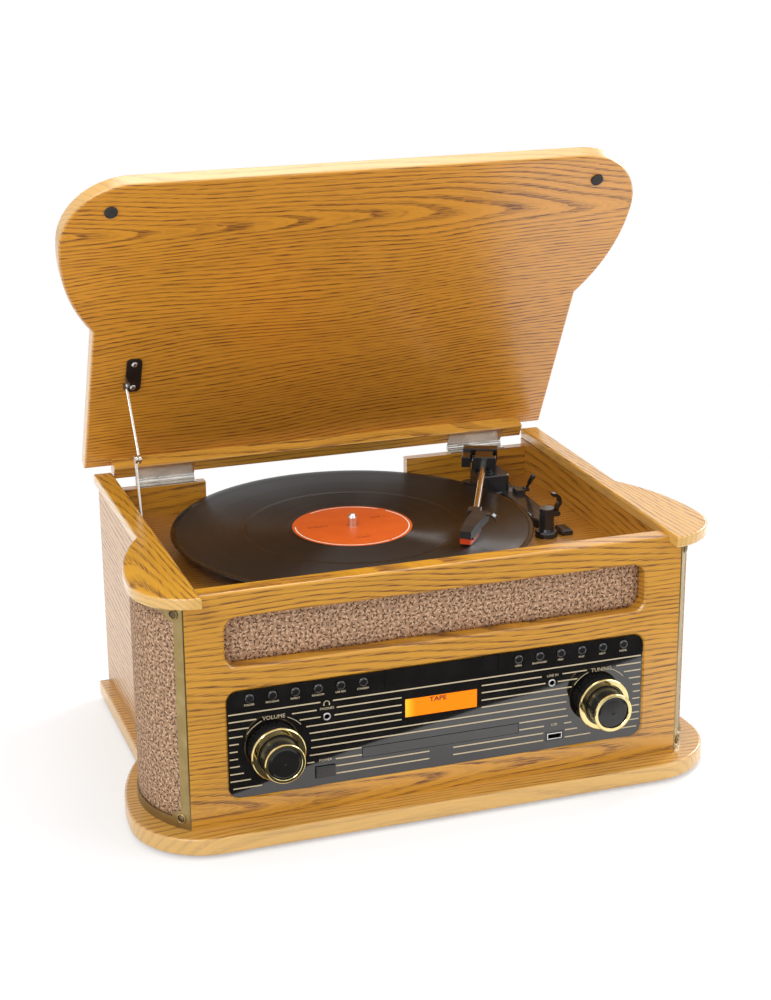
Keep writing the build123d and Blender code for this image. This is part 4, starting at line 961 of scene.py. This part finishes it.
# %% Stay and rear screws
hinge_y, hinge_z = hinge["pos_m"][1:]
plate_above, plate_screws = 12.6 * mm, (127.0 * mm, 101.5 * mm)


def on_open_lid(front, above):
    """A place in front of the hinge and above it, with the lid closed, turned up to the open lid."""
    y = hinge_y - front * cos(lid_open) + above * sin(lid_open)
    z = hinge_z + front * sin(lid_open) + above * cos(lid_open)
    return y, z


plate_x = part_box("stay_lid_bracket")[1][0] - 6.5 * mm
down = (0, -sin(lid_open), -cos(lid_open))
places = [((plate_x, *on_open_lid(front, plate_above)), down) for front in plate_screws]
screws("stay_screws", places, "lid", "steel", silver, head=2.5, tall=1.1)

rear_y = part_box("side_walls")[1][1]
plate_low, plate_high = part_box("rear_terminal_panel")
corner_in = 4 * mm
places = [((x, rear_y, z), (0, 1, 0)) for x in (plate_low[0] + corner_in, plate_high[0] - corner_in)
          for z in (plate_low[2] + corner_in, plate_high[2] - corner_in)]
screws("rear_screws", places, "cabinet", "steel", steel, head=2.4, tall=0.9)

# %% [markdown]
# ## Words on the back
# The plate behind names its sockets: the line sockets and the mains inlet.

# %% Rear words
behind = {"right": (-1, 0, 0), "up": (0, 0, 1)}
rear_text = [("LINE OUT", -71, 61.5), ("L", -80, 38.5), ("R", -62, 38.5), ("AC IN", -127, 62.2)]
rear = [letters(word, 4.2 * mm, (x * mm, rear_y + print_depth / 2, z * mm), **behind)
        for word, x, z in rear_text]
make_piece("rear_words", *joined(rear), white_print, "cabinet", "black_plastic", smooth=False)

# %% [markdown]
# ## Floor
# The floor is a plain pale sheet that keeps the player's shadow. For the camera it is part even white, and
# farther out all of it is, so that no edge or fading shows behind the player.

# %% Floor
near_white, white_from, white_at = 0.45, 0.29, 0.62
floor_material, tree, shader, place = new_material("floor")
mottle = noise_at(tree, place, 3.0, 1.0)
pale = blended(tree, mottle, (0.93, 0.93, 0.93, 1), (0.95, 0.95, 0.95, 1))
fill(tree, shader, {"Base Color": pale, "Roughness": 0.9, "Specular IOR Level": 0.1})
far = add_node(tree, "ShaderNodeVectorMath", {0: place}, operation="LENGTH").outputs["Value"]
seen = tree.nodes.new("ShaderNodeLightPath").outputs["Is Camera Ray"]
whiter = times(tree, stepped(tree, far, white_from, white_at), 1 - near_white)
even = times(tree, plus(tree, near_white, whiter), seen)
white = add_node(tree, "ShaderNodeEmission", {"Color": (1, 1, 1, 1), "Strength": 1.0}).outputs[0]
mix = add_node(tree, "ShaderNodeMixShader", {0: even, 1: shader.outputs[0], 2: white})
fill(tree, tree.nodes["Material Output"], {"Surface": mix.outputs[0]})


def flat_stage(name, corners, height, material):
    """A flat sheet on the floor that is no part of the player."""
    mesh = bpy.data.meshes.new(name)
    mesh.from_pydata([(x, y, height) for x, y in corners], [], [tuple(range(len(corners)))])
    mesh.materials.append(material)
    sheet = bpy.data.objects.new(name, mesh)
    bpy.context.scene.collection.objects.link(sheet)
    return sheet


reach = 6
flat_stage("floor", [(-reach, -reach), (reach, -reach), (reach, reach), (-reach, reach)], 0.0, floor_material)
print("the floor reaches", reach, "m to each side")

# %% [markdown]
# ## A dark card
# In the studio the pale table ended a little in front of the player, and its glossy facia shows where: the
# reflection is pale at the lower right and black above a slanting line. A flat dark card stands for the
# dark room beyond the table. Only reflections see it.

# %% Dark card for reflections
card_material, tree, shader, place = new_material("dark_card")
mottle = noise_at(tree, place, 2.0, 1.0)
dark = blended(tree, mottle, (0.010, 0.009, 0.008, 1), (0.016, 0.014, 0.012, 1))
fill(tree, shader, {"Base Color": dark, "Roughness": 0.9})
table_edge = [(-0.250, -0.190), (-0.135, -0.229), (-0.085, -0.250), (-0.021, -0.275), (0.056, -0.298),
              (0.097, -0.312), (0.145, -0.324), (0.204, -0.342), (0.282, -0.368), (0.60, -0.47), (3.0, -1.2)]
card = flat_stage("dark_card", [(-0.9, -3.5), (3.0, -3.5)] + table_edge[::-1], 1 * mm, card_material)
for ray in ("camera", "diffuse", "shadow", "transmission", "volume_scatter"):
    setattr(card, "visible_" + ray, False)
print("the card's edge has", len(table_edge), "points")

# %% [markdown]
# ## Light
# Soft lamps stand at the left, at the right and above, and a smaller one low at the right behind lights the
# record. The world is white where the camera, a gloss or glass looks at it, and softer where it lights the
# player.


# %% Lamps and world
def soft_lamp(name, place, target, size, power):
    """A square area lamp that faces a point."""
    data = bpy.data.lights.new(name, "AREA")
    data.size = size
    data.energy = power
    lamp = bpy.data.objects.new(name, data)
    aim = (Vector(target) - Vector(place)).to_track_quat("-Z", "Y")
    lamp.matrix_world = Matrix.Translation(place) @ aim.to_matrix().to_4x4()
    bpy.context.scene.collection.objects.link(lamp)
    print(name, "gives", power, "W")


soft_lamp("key_lamp", (-1.6, -1.5, 1.9), (0, 0, 0.15), 1.4, 34)
soft_lamp("fill_lamp", (1.9, -1.2, 1.3), (0, 0, 0.2), 1.4, 16)
soft_lamp("top_lamp", (0.2, 0.3, 2.3), (0, 0, 0.1), 1.6, 26)
soft_lamp("rim_lamp", (1.7, 0.95, 1.05), (0, 0, 0.18), 0.5, 18)

world = bpy.data.worlds.new("studio")
world.use_nodes = True
bpy.context.scene.world = world
tree = world.node_tree
seen = tree.nodes.new("ShaderNodeLightPath").outputs
mirrored = maths(tree, "MAXIMUM", seen["Is Glossy Ray"], seen["Is Transmission Ray"])
direct = maths(tree, "MAXIMUM", seen["Is Camera Ray"], mirrored)
room_light = 0.55
strength = plus(tree, room_light, times(tree, direct, 1 - room_light))
fill(tree, tree.nodes["Background"], {"Color": (1, 1, 1, 1), "Strength": strength})
bpy.context.scene.view_settings.view_transform = "Standard"
